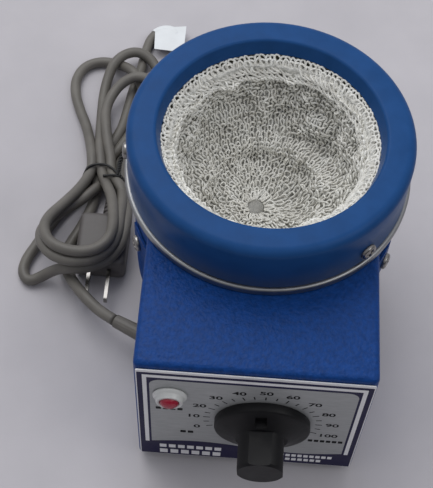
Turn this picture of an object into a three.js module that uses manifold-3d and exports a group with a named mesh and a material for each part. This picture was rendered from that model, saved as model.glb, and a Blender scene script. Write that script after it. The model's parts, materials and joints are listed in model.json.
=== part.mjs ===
// A 250 ml laboratory heating mantle: a spun-metal round body with a knitted glass-fibre well,
// a sheet-metal control box in front of it, and the mains cord tied up in a hank beside it.
// Millimetres, +Z up. The front panel faces -Y, and the origin is on the bench under the middle.

import * as THREE from 'three';
import { mergeVertices } from 'three/addons/utils/BufferGeometryUtils.js';
import Module from 'manifold-3d';

const wasm = await Module();
wasm.setup();

// ---------------------------------------------------------------- driving dimensions

const GAP = 0.3;                        // clearance between pieces that touch on the real object
const SHEET = 1.2;                      // thickness of all the sheet metal
const FACETS = 32;                      // facets around the large round pieces

const AXIS_Y = 31.5;                    // the round body's axis, behind the origin

const RING_RADIUS = 65;                 // painted top ring
const RING_TOP = 138;
const SKIRT_BOTTOM = 110;
const RING_EDGE = 4.5;                  // rounding of the ring's outer edge
const LIP_CREST_RADIUS = 53;            // where the flat of the ring turns down into the well
const LIP_EDGE_RADIUS = 49.6;
const LIP_EDGE_Z = 130.5;

const BEAD_RADIUS = 66.5;               // bare metal bead between the ring and the pan
const BEAD_HEIGHT = 4.4;

const PAN_RADIUS = 62.7;                // deep-drawn lower pan
const PAN_CORNER = 30;
const PAN_BOTTOM = 6.5;
const PAN_TOP = 128;

const WELL_RADIUS = 45;                 // inside of the fibre well: an 85 mm flask and some slack
const WELL_CENTRE_Z = 118;
const WELL_WALL = 4;
const WELL_RIM_Z = 130;

const BOX_HALF_WIDTH = 52.5;            // control box
const BOX_FRONT = -72;
const BOX_REAR = 0;
const BOX_BOTTOM = 5;
const BOX_TOP = BOX_BOTTOM + 100;
const BOX_BEND = 2.5;                   // outside radius of the box's bends

const TRAY_HALF_WIDTH = BOX_HALF_WIDTH - SHEET - GAP;
const TRAY_REAR = AXIS_Y + 51;
const TRAY_LIP = 7;

const LABEL = { halfWidth: 51.4, bottom: 6.5, top: 101.5, corner: 2.5, thickness: 0.5 };
const LABEL_FRONT = BOX_FRONT - GAP - LABEL.thickness;

const LAMP = { x: -36.6, z: 78.3, flange: 7.7, nose: 6.1, lens: 4.2 };
const DIAL = { x: 5.6, z: 55.6 };       // axis of the knob and the energy regulator
const DIAL_HALF_SWEEP = 110;            // degrees from the middle of the scale to either end
const DIAL_READING = 48;                // what the knob points at, on a scale from 0 to 100
const PANEL_HOLE = 5.4;

const KNOB = { skirt: 21.9, rim: 4.8, grip: 11.5, flat: 10.3, reach: 25.2, recess: 10 };
const SHAFT_RADIUS = 3;
const RUNNING_FIT = 0.08;               // radial clearance of the turning shaft in its bushing

const SCREW = { head: 4, headHeight: 2.2, shank: 1.9, hole: 2.2 };

const CORD_RADIUS = 3;
const CORD_EXIT = { x: -BOX_HALF_WIDTH, y: -17.5, z: 20.5 };

const PLUG = {
  x: -83.6, front: 26.5, length: 32, width: 27, height: 17, pinSpacing: 10.5, neckX: -81.6,
};

// ---------------------------------------------------------------- helpers: geometry to solid and back

function toSolid(geometry) {
  const bare = geometry.clone();
  bare.deleteAttribute('normal');
  bare.deleteAttribute('uv');
  const merged = mergeVertices(bare, 1e-4);
  const corners = Array.from(merged.index.array);
  const kept = [];
  for (let i = 0; i < corners.length; i += 3) {
    const [a, b, c] = corners.slice(i, i + 3);
    if (a !== b && b !== c && c !== a) kept.push(a, b, c);
  }
  const mesh = new wasm.Mesh({
    numProp: 3,
    vertProperties: new Float32Array(merged.attributes.position.array),
    triVerts: new Uint32Array(kept),
  });
  return new wasm.Manifold(mesh);
}

function toGeometry(solid) {
  const mesh = solid.getMesh();
  const geometry = new THREE.BufferGeometry();
  geometry.setAttribute('position', new THREE.BufferAttribute(new Float32Array(mesh.vertProperties), 3));
  geometry.setIndex(new THREE.BufferAttribute(new Uint32Array(mesh.triVerts), 1));
  geometry.computeVertexNormals();
  return geometry;
}

// base minus every cutter, as a geometry
function cut(base, ...cutters) {
  return toGeometry(cutters.reduce((solid, cutter) => solid.subtract(toSolid(cutter)), toSolid(base)));
}

function join(...geometries) {
  return toGeometry(geometries.map(toSolid).reduce((a, b) => a.add(b)));
}

function common(...geometries) {
  return toGeometry(geometries.map(toSolid).reduce((a, b) => a.intersect(b)));
}

// ---------------------------------------------------------------- helpers: shapes

const degrees = (angle) => (angle * Math.PI) / 180;

// points on an arc in the (radius, height) plane, angles in degrees from the outward direction
function arc(centreR, centreZ, radius, from, to, steps) {
  return Array.from({ length: steps + 1 }, (_, i) => {
    const angle = degrees(from + ((to - from) * i) / steps);
    return [centreR + radius * Math.cos(angle), centreZ + radius * Math.sin(angle)];
  });
}

// A solid of revolution about +Z from [radius, height] pairs that run anticlockwise, bottom to top
// on the outside. A profile that doesn't start and end on the axis closes on itself.
function revolve(pairs, facets = FACETS) {
  const points = pairs.map(([r, z]) => new THREE.Vector2(r, z));
  const first = points[0];
  const last = points[points.length - 1];
  if (first.x > 0 || last.x > 0) points.push(first.clone());
  return new THREE.LatheGeometry(points, facets).rotateX(Math.PI / 2);
}

function block([x0, x1], [y0, y1], [z0, z1]) {
  const box = new THREE.BoxGeometry(x1 - x0, y1 - y0, z1 - z0);
  return box.translate((x0 + x1) / 2, (y0 + y1) / 2, (z0 + z1) / 2);
}

function rectangle([u0, u1], [v0, v1], corner, steps = 4) {
  const shape = new THREE.Shape();
  const corners = [[u1 - corner, v0 + corner, -90], [u1 - corner, v1 - corner, 0],
    [u0 + corner, v1 - corner, 90], [u0 + corner, v0 + corner, 180]];
  const points = corners.flatMap(([u, v, start]) => arc(u, v, corner, start, start + 90, steps));
  shape.setFromPoints(points.map(([u, v]) => new THREE.Vector2(u, v)));
  return shape;
}

// a shape drawn in the XY plane, made z0 to z1 thick
function slab(shape, [z0, z1]) {
  return new THREE.ExtrudeGeometry(shape, { depth: z1 - z0, bevelEnabled: false }).translate(0, 0, z0);
}

// a shape drawn in the XZ plane, made y0 to y1 thick
function slabAlongY(shape, [y0, y1]) {
  return slab(shape, [-y1, -y0]).rotateX(Math.PI / 2);
}

// a shape drawn in the YZ plane, made x0 to x1 thick
function slabAlongX(shape, [x0, x1]) {
  return slab(shape, [x0, x1]).rotateX(Math.PI / 2).rotateZ(Math.PI / 2);
}

// a box whose twelve edges are all rounded
function roundedBlock(xs, ys, zs, radius) {
  return common(
    slab(rectangle(xs, ys, radius), zs),
    slabAlongY(rectangle(xs, zs, radius), ys),
    slabAlongX(rectangle(ys, zs, radius), xs),
  );
}

// a rod of the given radius from one point to another
function rod(from, to, radius, facets = 10) {
  const a = new THREE.Vector3(...from);
  const b = new THREE.Vector3(...to);
  const geometry = new THREE.CylinderGeometry(radius, radius, a.distanceTo(b), facets);
  const along = b.clone().sub(a).normalize();
  const turn = new THREE.Quaternion().setFromUnitVectors(new THREE.Vector3(0, 1, 0), along);
  const middle = a.add(b).multiplyScalar(0.5);
  return geometry.applyQuaternion(turn).translate(middle.x, middle.y, middle.z);
}

// a round tube along a smooth curve through the points
function tube(points, radius, steps, sides = 8) {
  const section = new THREE.Shape();
  section.setFromPoints(arc(0, 0, radius, 0, 360 - 360 / sides, sides - 1)
    .map(([u, v]) => new THREE.Vector2(u, v)));
  const path = new THREE.CatmullRomCurve3(points.map((p) => new THREE.Vector3(...p)), false, 'centripetal');
  return new THREE.ExtrudeGeometry(section, { steps, extrudePath: path, bevelEnabled: false });
}

// a hexagon nut along +Z from z0 to z1
function hexNut(cornerRadius, bore, [z0, z1]) {
  const blank = revolve([[0, z0], [cornerRadius, z0], [cornerRadius, z1], [0, z1]], 6);
  return cut(blank, revolve([[0, z0 - 1], [bore, z0 - 1], [bore, z1 + 1], [0, z1 + 1]], 20));
}

// a turned piece that was drawn about +Z, placed so that its own +Z points along a direction
function aim(geometry, direction, [x, y, z]) {
  const turn = new THREE.Quaternion().setFromUnitVectors(
    new THREE.Vector3(0, 0, 1), new THREE.Vector3(...direction).normalize());
  return geometry.applyQuaternion(turn).translate(x, y, z);
}

const TOWARDS_USER = [0, -1, 0];
const onPanel = (geometry, { x, z }, y) => aim(geometry, TOWARDS_USER, [x, y, z]);
const aboutBody = (geometry) => geometry.translate(0, AXIS_Y, 0);

// the direction away from the body's axis at an angle in degrees, counted from +X
const outward = (angle) => [Math.cos(degrees(angle)), Math.sin(degrees(angle)), 0];
const onBody = (angle, radius, z) => [
  radius * Math.cos(degrees(angle)), AXIS_Y + radius * Math.sin(degrees(angle)), z];

// ---------------------------------------------------------------- materials

const finish = (color, roughness, metalness) =>
  new THREE.MeshStandardMaterial({ color, roughness, metalness });

const MATERIALS = {
  ringPaint: finish(0x2d5a9e, 0.35, 0.5),
  boxPaint: finish(0x1c3f9c, 0.45, 0.2),
  bareMetal: finish(0xa9aaa8, 0.4, 0.9),
  steel: finish(0xb8b8b4, 0.35, 0.9),
  fibre: finish(0xd8d6cc, 0.95, 0),
  wool: finish(0xcfc9a8, 1, 0),
  label: finish(0xa6a8a8, 0.5, 0.3),
  bakelite: finish(0x1c1c1f, 0.45, 0),
  whitePlastic: finish(0xdcdcd8, 0.4, 0),
  redLens: finish(0xa41530, 0.2, 0),
  rubber: finish(0x1a1a1a, 0.8, 0),
  phenolic: finish(0x5a3a24, 0.6, 0),
  brass: finish(0xb08d4a, 0.35, 0.9),
  wire: finish(0xb04030, 0.6, 0),
  earthWire: finish(0x3f8a3a, 0.6, 0),
  cord: finish(0x69665f, 0.6, 0),
  plug: finish(0x373234, 0.55, 0),
  tag: finish(0xe4e8ea, 0.6, 0),
};

const assembly = new THREE.Group();

function part(name, geometry, material) {
  const mesh = new THREE.Mesh(geometry, MATERIALS[material]);
  mesh.name = name;
  assembly.add(mesh);
}

// ---------------------------------------------------------------- screws

// a pan-head screw along +Z: the head's seat is at 0 and the shank runs down
function screw(length, { head, headHeight, shank } = SCREW, facets = 12) {
  return revolve([[0, -length], [shank, -length], [shank, 0], [head, 0], [head, headHeight * 0.45],
    [head * 0.72, headHeight * 0.9], [0, headHeight]], facets);
}

const RING_SCREW_Z = 117;
const RING_SCREW_ANGLES = [-46, 68, -178];
const TAB_SCREW_Z = 75;
const TAB_SCREW_ANGLES = [-156.5, -23.5];
const TAB_OUTER = PAN_RADIUS + GAP + SHEET;

// holes drilled towards the body's axis, from outside the sheets to inside them
const radialHole = (angle, z) => rod(onBody(angle, 55, z), onBody(angle, 70, z), SCREW.hole);
const ringScrewHoles = () => RING_SCREW_ANGLES.map((angle) => radialHole(angle, RING_SCREW_Z));
const tabScrewHoles = () => TAB_SCREW_ANGLES.map((angle) => radialHole(angle, TAB_SCREW_Z));

function bodyScrews() {
  RING_SCREW_ANGLES.forEach((angle, i) => {
    const seat = onBody(angle, RING_RADIUS + 0.2, RING_SCREW_Z);
    part(`ring_screw_${i + 1}`, aim(screw(3.5), outward(angle), seat), 'steel');
  });
  TAB_SCREW_ANGLES.forEach((angle, i) => {
    const seat = onBody(angle, TAB_OUTER + 0.2, TAB_SCREW_Z);
    part(`tab_screw_${i + 1}`, aim(screw(2.8), outward(angle), seat), 'steel');
  });
}

// ---------------------------------------------------------------- round body

// the ring's cross-section is one sheet: skirt, rounded edge, flat top and a lip into the well
function topRing() {
  const inner = RING_RADIUS - SHEET;
  const edgeR = RING_RADIUS - RING_EDGE;
  const edgeZ = RING_TOP - RING_EDGE;
  const bend = 1.8;
  const crest = arc(LIP_CREST_RADIUS, RING_TOP - bend, bend, 90, 160, 3);
  const underside = arc(LIP_CREST_RADIUS, RING_TOP - bend, bend - SHEET, 160, 90, 2);
  const profile = [
    [inner, SKIRT_BOTTOM], [RING_RADIUS, SKIRT_BOTTOM],
    ...arc(edgeR, edgeZ, RING_EDGE, 0, 90, 5),
    ...crest, [LIP_EDGE_RADIUS, LIP_EDGE_Z], [LIP_EDGE_RADIUS + SHEET, LIP_EDGE_Z],
    ...underside,
    ...arc(edgeR, edgeZ, RING_EDGE - SHEET, 90, 0, 4),
  ];
  part('top_ring', cut(aboutBody(revolve(profile)), ...ringScrewHoles()), 'ringPaint');
}

function beadRing() {
  const bottom = BOX_TOP + GAP;
  const inner = PAN_RADIUS + GAP;
  const top = bottom + BEAD_HEIGHT;
  const round = 0.8;
  const profile = [[inner, bottom], [BEAD_RADIUS - round, bottom], [BEAD_RADIUS, bottom + round],
    [BEAD_RADIUS, top - round], [BEAD_RADIUS - round, top], [inner, top]];
  part('bead_ring', aboutBody(revolve(profile)), 'bareMetal');
}

// the pan's outline from the middle of its floor to its top edge, offset inwards by `inset`
function panOutline(inset, top) {
  const cornerR = PAN_RADIUS - PAN_CORNER;
  const cornerZ = PAN_BOTTOM + PAN_CORNER;
  return [[0, PAN_BOTTOM + inset], ...arc(cornerR, cornerZ, PAN_CORNER - inset, -90, 0, 6),
    [PAN_RADIUS - inset, top]];
}

const PAN_BOLT_ANGLES = [90, 210, 330];
const PAN_BOLT_CIRCLE = 22;
const LEAD_HOLE_Z = 39;
const LEAD_HOLE = 6;
const panBoltHoles = () => PAN_BOLT_ANGLES.map((angle) =>
  rod(onBody(angle, PAN_BOLT_CIRCLE, 0), onBody(angle, PAN_BOLT_CIRCLE, 10), SCREW.hole));

function lowerPan() {
  const shell = [...panOutline(0, PAN_TOP), ...panOutline(SHEET, PAN_TOP).reverse()];
  const leadHole = rod([0, AXIS_Y - 55, LEAD_HOLE_Z], [0, AXIS_Y - 70, LEAD_HOLE_Z], LEAD_HOLE, 16);
  part('lower_pan',
    cut(aboutBody(revolve(shell)), ...ringScrewHoles(), ...tabScrewHoles(), ...panBoltHoles(), leadHole),
    'boxPaint');
}

const WELL_STEPS = 7;

// the hemisphere about the well's centre, from its lowest point to its equator
const hemisphere = (radius) => arc(0, WELL_CENTRE_Z, radius, -90, 0, WELL_STEPS);

function fibreWell() {
  const outer = WELL_RADIUS + WELL_WALL;
  const rim = 1.3;
  const profile = [
    ...hemisphere(outer), [outer + rim, WELL_RIM_Z - 2.5], [outer + rim, WELL_RIM_Z - 1],
    [outer + rim - 1, WELL_RIM_Z], [WELL_RADIUS + 2.2, WELL_RIM_Z], [WELL_RADIUS + 0.8, WELL_RIM_Z - 2],
    ...hemisphere(WELL_RADIUS).reverse(),
  ];
  part('fibre_well', aboutBody(revolve(profile)), 'fibre');
}

// mineral wool packed between the well and the pan, with a channel for the heater's leads
const LEAD_CHANNEL = 9;
const WOOL_INNER = WELL_RADIUS + WELL_WALL + 3.5;
const WOOL_BOTTOM = 14;
function woolPacking() {
  const top = PAN_TOP - 1;
  const filled = [...panOutline(SHEET + GAP, top), [WOOL_INNER, top], ...hemisphere(WOOL_INNER).reverse()];
  const channel = [[0, AXIS_Y, LEAD_HOLE_Z], [0, AXIS_Y - PAN_RADIUS - 5, LEAD_HOLE_Z]];
  const drain = [[0, AXIS_Y, LEAD_HOLE_Z - LEAD_CHANNEL], [0, AXIS_Y, WELL_CENTRE_Z - WOOL_INNER + 5]];
  const packing = cut(aboutBody(revolve(filled)), block([-80, 80], [-80, 120], [0, WOOL_BOTTOM]),
    rod(...channel, LEAD_CHANNEL, 16), rod(...drain, LEAD_CHANNEL, 16));
  part('wool_packing', packing, 'wool');
}

// the sleeved heating wire, wound as one spiral round the outside of the fibre well
const ELEMENT_RADIUS = 0.85;
function heatingElement() {
  const turns = 4;
  const stepsPerTurn = 20;
  const wound = WELL_RADIUS + WELL_WALL + 1.75;
  const lowest = 28;
  const highest = 80;
  const count = turns * stepsPerTurn;
  const points = Array.from({ length: count + 1 }, (_, i) => {
    const polar = degrees(lowest + ((highest - lowest) * i) / count);
    const azimuth = (2 * Math.PI * i) / stepsPerTurn;
    const reach = wound * Math.sin(polar);
    const height = WELL_CENTRE_Z - wound * Math.cos(polar);
    return [reach * Math.cos(azimuth), AXIS_Y + reach * Math.sin(azimuth), height];
  });
  part('heating_element', tube(points, ELEMENT_RADIUS, count, 5), 'wire');
}

// ---------------------------------------------------------------- control box and base

const wallThrough = (x, z, radius) => rod([x, BOX_FRONT - 5, z], [x, BOX_FRONT + 5, z], radius, 20);
const panelHoles = () => [wallThrough(LAMP.x, LAMP.z, PANEL_HOLE), wallThrough(DIAL.x, DIAL.z, PANEL_HOLE)];
const CORD_HOLE = 6;
const SIDE_SCREW = { head: 2.9, headHeight: 1.7, shank: 1.4 };
const SIDE_SCREW_Z = BOX_BOTTOM + 4.4;
const SIDE_SCREW_YS = [-58, -24];
const sideScrewPlaces = () => SIDE_SCREW_YS.flatMap((y) => [[-1, y], [1, y]]);
const sideScrewHoles = () => sideScrewPlaces().map(([side, y]) =>
  rod([side * (BOX_HALF_WIDTH - 6), y, SIDE_SCREW_Z], [side * (BOX_HALF_WIDTH + 3), y, SIDE_SCREW_Z], 1.7));

// a curved tab that lies on the pan and carries the box's weight to it
function panTab(angle) {
  const inner = PAN_RADIUS + GAP;
  const halfWidth = 9;
  const ring = revolve([[inner, TAB_SCREW_Z - halfWidth], [TAB_OUTER, TAB_SCREW_Z - halfWidth],
    [TAB_OUTER, TAB_SCREW_Z + halfWidth], [inner, TAB_SCREW_Z + halfWidth]], 96);
  const [x] = onBody(angle, inner, 0);
  const side = Math.sign(x);
  const window = block([side > 0 ? 51.6 : -75, side > 0 ? 75 : -51.6], [-7, 11.5], [0, 150]);
  return common(aboutBody(ring), window);
}

function controlBox() {
  const xs = [-BOX_HALF_WIDTH, BOX_HALF_WIDTH];
  const overrun = 5;
  const ys = [BOX_FRONT, BOX_REAR + overrun];
  const outside = roundedBlock(xs, ys, [BOX_BOTTOM - overrun, BOX_TOP], BOX_BEND);
  const trimmed = cut(outside,
    block([-60, 60], [BOX_REAR, BOX_REAR + 2 * overrun], [-overrun, BOX_TOP + overrun]),
    block([-60, 60], [BOX_FRONT - overrun, overrun], [-overrun, BOX_BOTTOM]));
  const hollow = roundedBlock([-BOX_HALF_WIDTH + SHEET, BOX_HALF_WIDTH - SHEET],
    [BOX_FRONT + SHEET, BOX_REAR + 2 * overrun], [-overrun, BOX_TOP - SHEET], BOX_BEND - SHEET);
  const panRoom = aboutBody(revolve([...panOutline(-GAP, BOX_TOP + overrun), [0, BOX_TOP + overrun]], 96));
  const cordHole = rod([-60, CORD_EXIT.y, CORD_EXIT.z], [-45, CORD_EXIT.y, CORD_EXIT.z], CORD_HOLE, 20);
  const shell = cut(trimmed, hollow, panRoom, cordHole, ...panelHoles(), ...sideScrewHoles());
  const withTabs = join(shell, ...TAB_SCREW_ANGLES.map(panTab));
  part('control_box', cut(withTabs, ...tabScrewHoles()), 'boxPaint');
}

const FOOT = { radius: 8, height: BOX_BOTTOM - GAP, bore: 5, web: 2 };
const FOOT_PLACES = [[-38, -56], [38, -56], [-38, 68], [38, 68]];

function baseTray() {
  const ys = [BOX_FRONT + SHEET + GAP, TRAY_REAR];
  const xs = [-TRAY_HALF_WIDTH, TRAY_HALF_WIDTH];
  const outline = slab(rectangle(xs, ys, 2), [BOX_BOTTOM, BOX_BOTTOM + TRAY_LIP]);
  const inside = block([xs[0] + SHEET, xs[1] - SHEET], [ys[0] - 1, ys[1] - SHEET],
    [BOX_BOTTOM + SHEET, BOX_BOTTOM + TRAY_LIP + 1]);
  const footHoles = FOOT_PLACES.map(([x, y]) => rod([x, y, 0], [x, y, 10], SCREW.hole));
  part('base_tray', cut(outline, inside, ...footHoles, ...panBoltHoles(), ...sideScrewHoles()), 'steel');
}

function feet() {
  const { radius, height, bore, web } = FOOT;
  const profile = [[SCREW.hole, height - web], [bore, height - web], [bore, 0], [radius - 1, 0],
    [radius, 0.8], [radius, height], [SCREW.hole, height]];
  FOOT_PLACES.forEach(([x, y], i) => {
    part(`foot_${i + 1}`, revolve(profile, 20).translate(x, y, 0), 'rubber');
    const seat = [x, y, height - web - 0.2];
    part(`foot_screw_${i + 1}`, aim(screw(7), [0, 0, -1], seat), 'steel');
  });
}

function trayScrews() {
  sideScrewPlaces().forEach(([side, y], i) => {
    const seat = [side * (BOX_HALF_WIDTH + 0.2), y, SIDE_SCREW_Z];
    part(`side_screw_${i + 1}`, aim(screw(5, SIDE_SCREW), [side, 0, 0], seat), 'steel');
  });
  PAN_BOLT_ANGLES.forEach((angle, i) => {
    const seat = onBody(angle, PAN_BOLT_CIRCLE, BOX_BOTTOM - 0.2);
    part(`pan_bolt_${i + 1}`, aim(screw(8), [0, 0, -1], seat), 'steel');
  });
}

// ---------------------------------------------------------------- front panel

function panelLabel() {
  const outline = rectangle([-LABEL.halfWidth, LABEL.halfWidth], [LABEL.bottom, LABEL.top], LABEL.corner);
  const plate = slabAlongY(outline, [LABEL_FRONT, LABEL_FRONT + LABEL.thickness]);
  part('panel_label', cut(plate, ...panelHoles()), 'label');
}

// pieces of the lamp are drawn about +Z from the label's face, +Z towards the user
function lamp() {
  const { flange, nose, lens } = LAMP;
  const seatRadius = lens + GAP;
  const barrel = 5;
  const place = (geometry) => onPanel(geometry, LAMP, LABEL_FRONT);
  const bezel = revolve([[0, -14], [barrel, -14], [barrel, GAP], [flange, GAP], [flange, 1.3], [nose, 4.4],
    [seatRadius, 4.4], [seatRadius, 2], [0, 2]], 24);
  part('lamp_bezel', place(bezel), 'whitePlastic');
  const dome = arc(0, 3.6, lens, 20, 90, 4).map(([r, z]) => [r, 3.6 + (z - 3.6) * 0.7]);
  part('lamp_lens', place(revolve([[0, 2 + GAP], [lens, 2 + GAP], [lens, 4.4], ...dome], 24)), 'redLens');
  part('lamp_nut', place(hexNut(8.5, barrel + GAP, [-5.4, -2.4])), 'whitePlastic');
  const socket = revolve([[0, -30], [barrel, -30], [barrel, -14.3], [0, -14.3]], 16);
  part('lamp_socket', place(socket), 'phenolic');
}

const REGULATOR = { halfWidth: 17, height: 38, front: BOX_FRONT + 6, depth: 24 };
const BUSHING_RADIUS = 5;

function regulator() {
  const { halfWidth, height, front, depth } = REGULATOR;
  const xs = [DIAL.x - halfWidth, DIAL.x + halfWidth];
  const zs = [DIAL.z - height / 2, DIAL.z + height / 2];
  const shaftBore = SHAFT_RADIUS + RUNNING_FIT;
  const body = roundedBlock(xs, [front, front + depth], zs, 2);
  const bushing = rod([DIAL.x, LABEL_FRONT - 3.4, DIAL.z], [DIAL.x, front + 2, DIAL.z], BUSHING_RADIUS, 20);
  const bore = rod([DIAL.x, LABEL_FRONT - 10, DIAL.z], [DIAL.x, front + 12, DIAL.z], shaftBore, 24);
  part('regulator_body', cut(join(body, bushing), bore), 'phenolic');
  const nut = hexNut(8, BUSHING_RADIUS + GAP, [GAP, 2.8]);
  part('regulator_nut', onPanel(nut, DIAL, LABEL_FRONT), 'brass');
}

// ---------------------------------------------------------------- knob, which turns with the shaft

// turn about the knob's own axis from straight up to the reading at rest
const RESTING_TURN = degrees(((DIAL_READING - 50) / 50) * DIAL_HALF_SWEEP);
const turnToRest = (geometry) => geometry
  .translate(-DIAL.x, 0, -DIAL.z).rotateY(RESTING_TURN).translate(DIAL.x, 0, DIAL.z);

function knob() {
  const { skirt, rim, grip, flat, reach, recess } = KNOB;
  const back = GAP;
  const boreDepth = 14;
  const boreRadius = SHAFT_RADIUS + GAP;
  const profile = [
    [boreRadius, 5], [recess, 5], [recess, back], [skirt - 0.3, back], [skirt, back + 0.4],
    [skirt, rim - 0.6], [skirt - 1, rim], [skirt - 4, rim + 1.4], [grip + 3, rim + 3.2], [grip, rim + 4.6],
    [grip, reach - 1.2], [grip - 1.2, reach], [0, reach], [0, boreDepth], [boreRadius, boreDepth],
  ];
  const turned = onPanel(revolve(profile, 40), DIAL, LABEL_FRONT);
  const front = LABEL_FRONT - reach - 1;
  const shoulder = LABEL_FRONT - rim - 4.4;
  const above = (z) => DIAL.z + z;
  const flatCut = block([DIAL.x - 8, DIAL.x + 8], [front, shoulder], [above(flat), above(flat + 5)]);
  const cheek = 10.2;
  const cheeks = [-1, 1].map((side) => {
    const near = DIAL.x + side * cheek;
    const far = DIAL.x + side * (cheek + 5);
    return block([Math.min(near, far), Math.max(near, far)], [front, shoulder], [above(-6.5), above(6.5)]);
  });
  const notch = block([DIAL.x - 2.6, DIAL.x + 2.6], [front, LABEL_FRONT - rim - 0.4],
    [above(grip + 1), above(skirt - 4)]);
  const screwY = LABEL_FRONT - 10.5;
  const setScrewHole = rod([DIAL.x, screwY, above(-25)], [DIAL.x, screwY, DIAL.z], 1.9);
  part('knob', turnToRest(cut(turned, flatCut, ...cheeks, notch, setScrewHole)), 'bakelite');

  const shaft = rod([DIAL.x, LABEL_FRONT - boreDepth + GAP, DIAL.z], [DIAL.x, REGULATOR.front + 10, DIAL.z],
    SHAFT_RADIUS, 24);
  part('regulator_shaft', shaft, 'steel');
  const setScrew = rod([DIAL.x, screwY, above(-10.5)], [DIAL.x, screwY, above(-3.3)], 1.5);
  part('knob_set_screw', turnToRest(setScrew), 'steel');
}

// ---------------------------------------------------------------- wiring inside the box

const BLOCK = { xs: [14, 40], ys: [-50, -38], zs: [BOX_BOTTOM + SHEET + GAP, BOX_BOTTOM + SHEET + 12] };
const WIRE_RADIUS = 1.1;

function wiring() {
  part('terminal_block', block(BLOCK.xs, BLOCK.ys, BLOCK.zs), 'whitePlastic');
  const blockTop = BLOCK.zs[1] + 2 * GAP;
  const blockY = (BLOCK.ys[0] + BLOCK.ys[1]) / 2;
  const leadY = AXIS_Y - PAN_RADIUS;
  const wires = [
    ['heater_lead_1', [[-2, AXIS_Y, 67], [-2, AXIS_Y - 3, LEAD_HOLE_Z + 4], [-1.9, AXIS_Y - 12, LEAD_HOLE_Z],
      [-1.9, leadY + 6, LEAD_HOLE_Z], [-1.9, leadY - 3, LEAD_HOLE_Z], [1, leadY - 7, 26],
      [18, blockY, blockTop + 7], [18, blockY, blockTop]], 'wire'],
    ['heater_lead_2', [[2, AXIS_Y, 67], [2, AXIS_Y - 3, LEAD_HOLE_Z + 4], [1.9, AXIS_Y - 12, LEAD_HOLE_Z],
      [1.9, leadY + 6, LEAD_HOLE_Z], [1.9, leadY - 3, LEAD_HOLE_Z], [10, leadY - 7, 32],
      [23, blockY, blockTop + 7], [23, blockY, blockTop]], 'wire'],
    ['regulator_wire', [[32, blockY, blockTop], [32, blockY, blockTop + 8], [30, -34, 30], [20, -33, 40],
      [14, REGULATOR.front + REGULATOR.depth + 1.5, 46]], 'wire'],
    ['lamp_wire', [[27.5, blockY, blockTop], [27, blockY + 3, blockTop + 7], [5, -37, 24], [-22, -40, 44],
      [LAMP.x, -38, 70], [LAMP.x, LABEL_FRONT + 32, LAMP.z]], 'wire'],
    ['earth_wire', [[36.5, blockY, blockTop], [37, blockY + 3, blockTop + 5], [43, -32, 14], [44, -25, 10],
      [44, -21, BOX_BOTTOM + SHEET + 1.6]], 'earthWire'],
  ];
  wires.forEach(([name, route, material]) => part(name, tube(route, WIRE_RADIUS, 18, 6), material));

  const sleeve = revolve([[4, -4.6], [8, -4.6], [8, -2.9], [LEAD_HOLE - GAP, -2.9], [LEAD_HOLE - GAP, 1],
    [8, 1], [8, 3], [4, 3]], 20);
  part('lead_bush', aim(sleeve, TOWARDS_USER, [0, leadY, LEAD_HOLE_Z]), 'rubber');
}

// ---------------------------------------------------------------- mains cord, plug, tie and tag

// the cord leaves the strain relief towards the rear, lies across a plug pin and reaches the hank
const RELIEF_END = [-71.3, -7.6, 18.2];
const CORD_ROUTE = [
  RELIEF_END, [-80.4, -1.5, 16.9], [-88.8, 6.5, 16], [-95.2, 15, 12.5], [-100.3, 24.3, 7],
];

function strainRelief() {
  const flange = 7.5;
  const neck = CORD_HOLE - GAP;
  const gland = revolve([[0, -3.4], [flange, -3.4], [flange, -SHEET - GAP], [neck, -SHEET - GAP], [neck, GAP],
    [flange, GAP], [flange, 1.2], [4.8, 2], [0, 2]], 20);
  const start = new THREE.Vector3(CORD_EXIT.x, CORD_EXIT.y, CORD_EXIT.z);
  const run = new THREE.Vector3(...RELIEF_END).sub(start);
  const sleeveLength = run.length() - 3 * GAP;
  const sleeve = revolve([[0, 0], [4.3, 0], [3.5, sleeveLength], [0, sleeveLength]], 16);
  const placed = aim(gland, [-1, 0, 0], start.toArray());
  part('strain_relief', join(placed, aim(sleeve, run.toArray(), start.toArray())), 'cord');
}

// the hank's plan view, anticlockwise: small lower-left bight, three lower bights, the tied waist,
// and four upper bights of which the longest reaches behind the body
const HANK_OUTLINE = [
  [-128.5, 25], [-122, 16.5], [-112, 18.5], [-96, 17], [-86, 17.5], [-76, 22.5], [-70.5, 31],
  [-69.2, 42], [-69.8, 58], [-72, 76], [-75.5, 92], [-66, 108], [-57, 126], [-51.5, 142],
  [-47, 164], [-46, 182], [-48.5, 198], [-57, 207], [-68, 204.5], [-77, 190], [-84, 183],
  [-98, 178.5], [-110, 174], [-117, 160], [-113, 140], [-104, 118], [-101, 98], [-101, 86],
  [-108, 76], [-116.5, 61], [-125, 42],
];
const HANK_BOTTOM = 0.3;
const HANK_TOP = 33.5;
const UPPER_TOP = 19;
const TAIL_TOP = 7;
const TAIL_Y = 183.5;
const WAIST = { y: 92, top: 12.6, left: -101, right: -75 };

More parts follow.
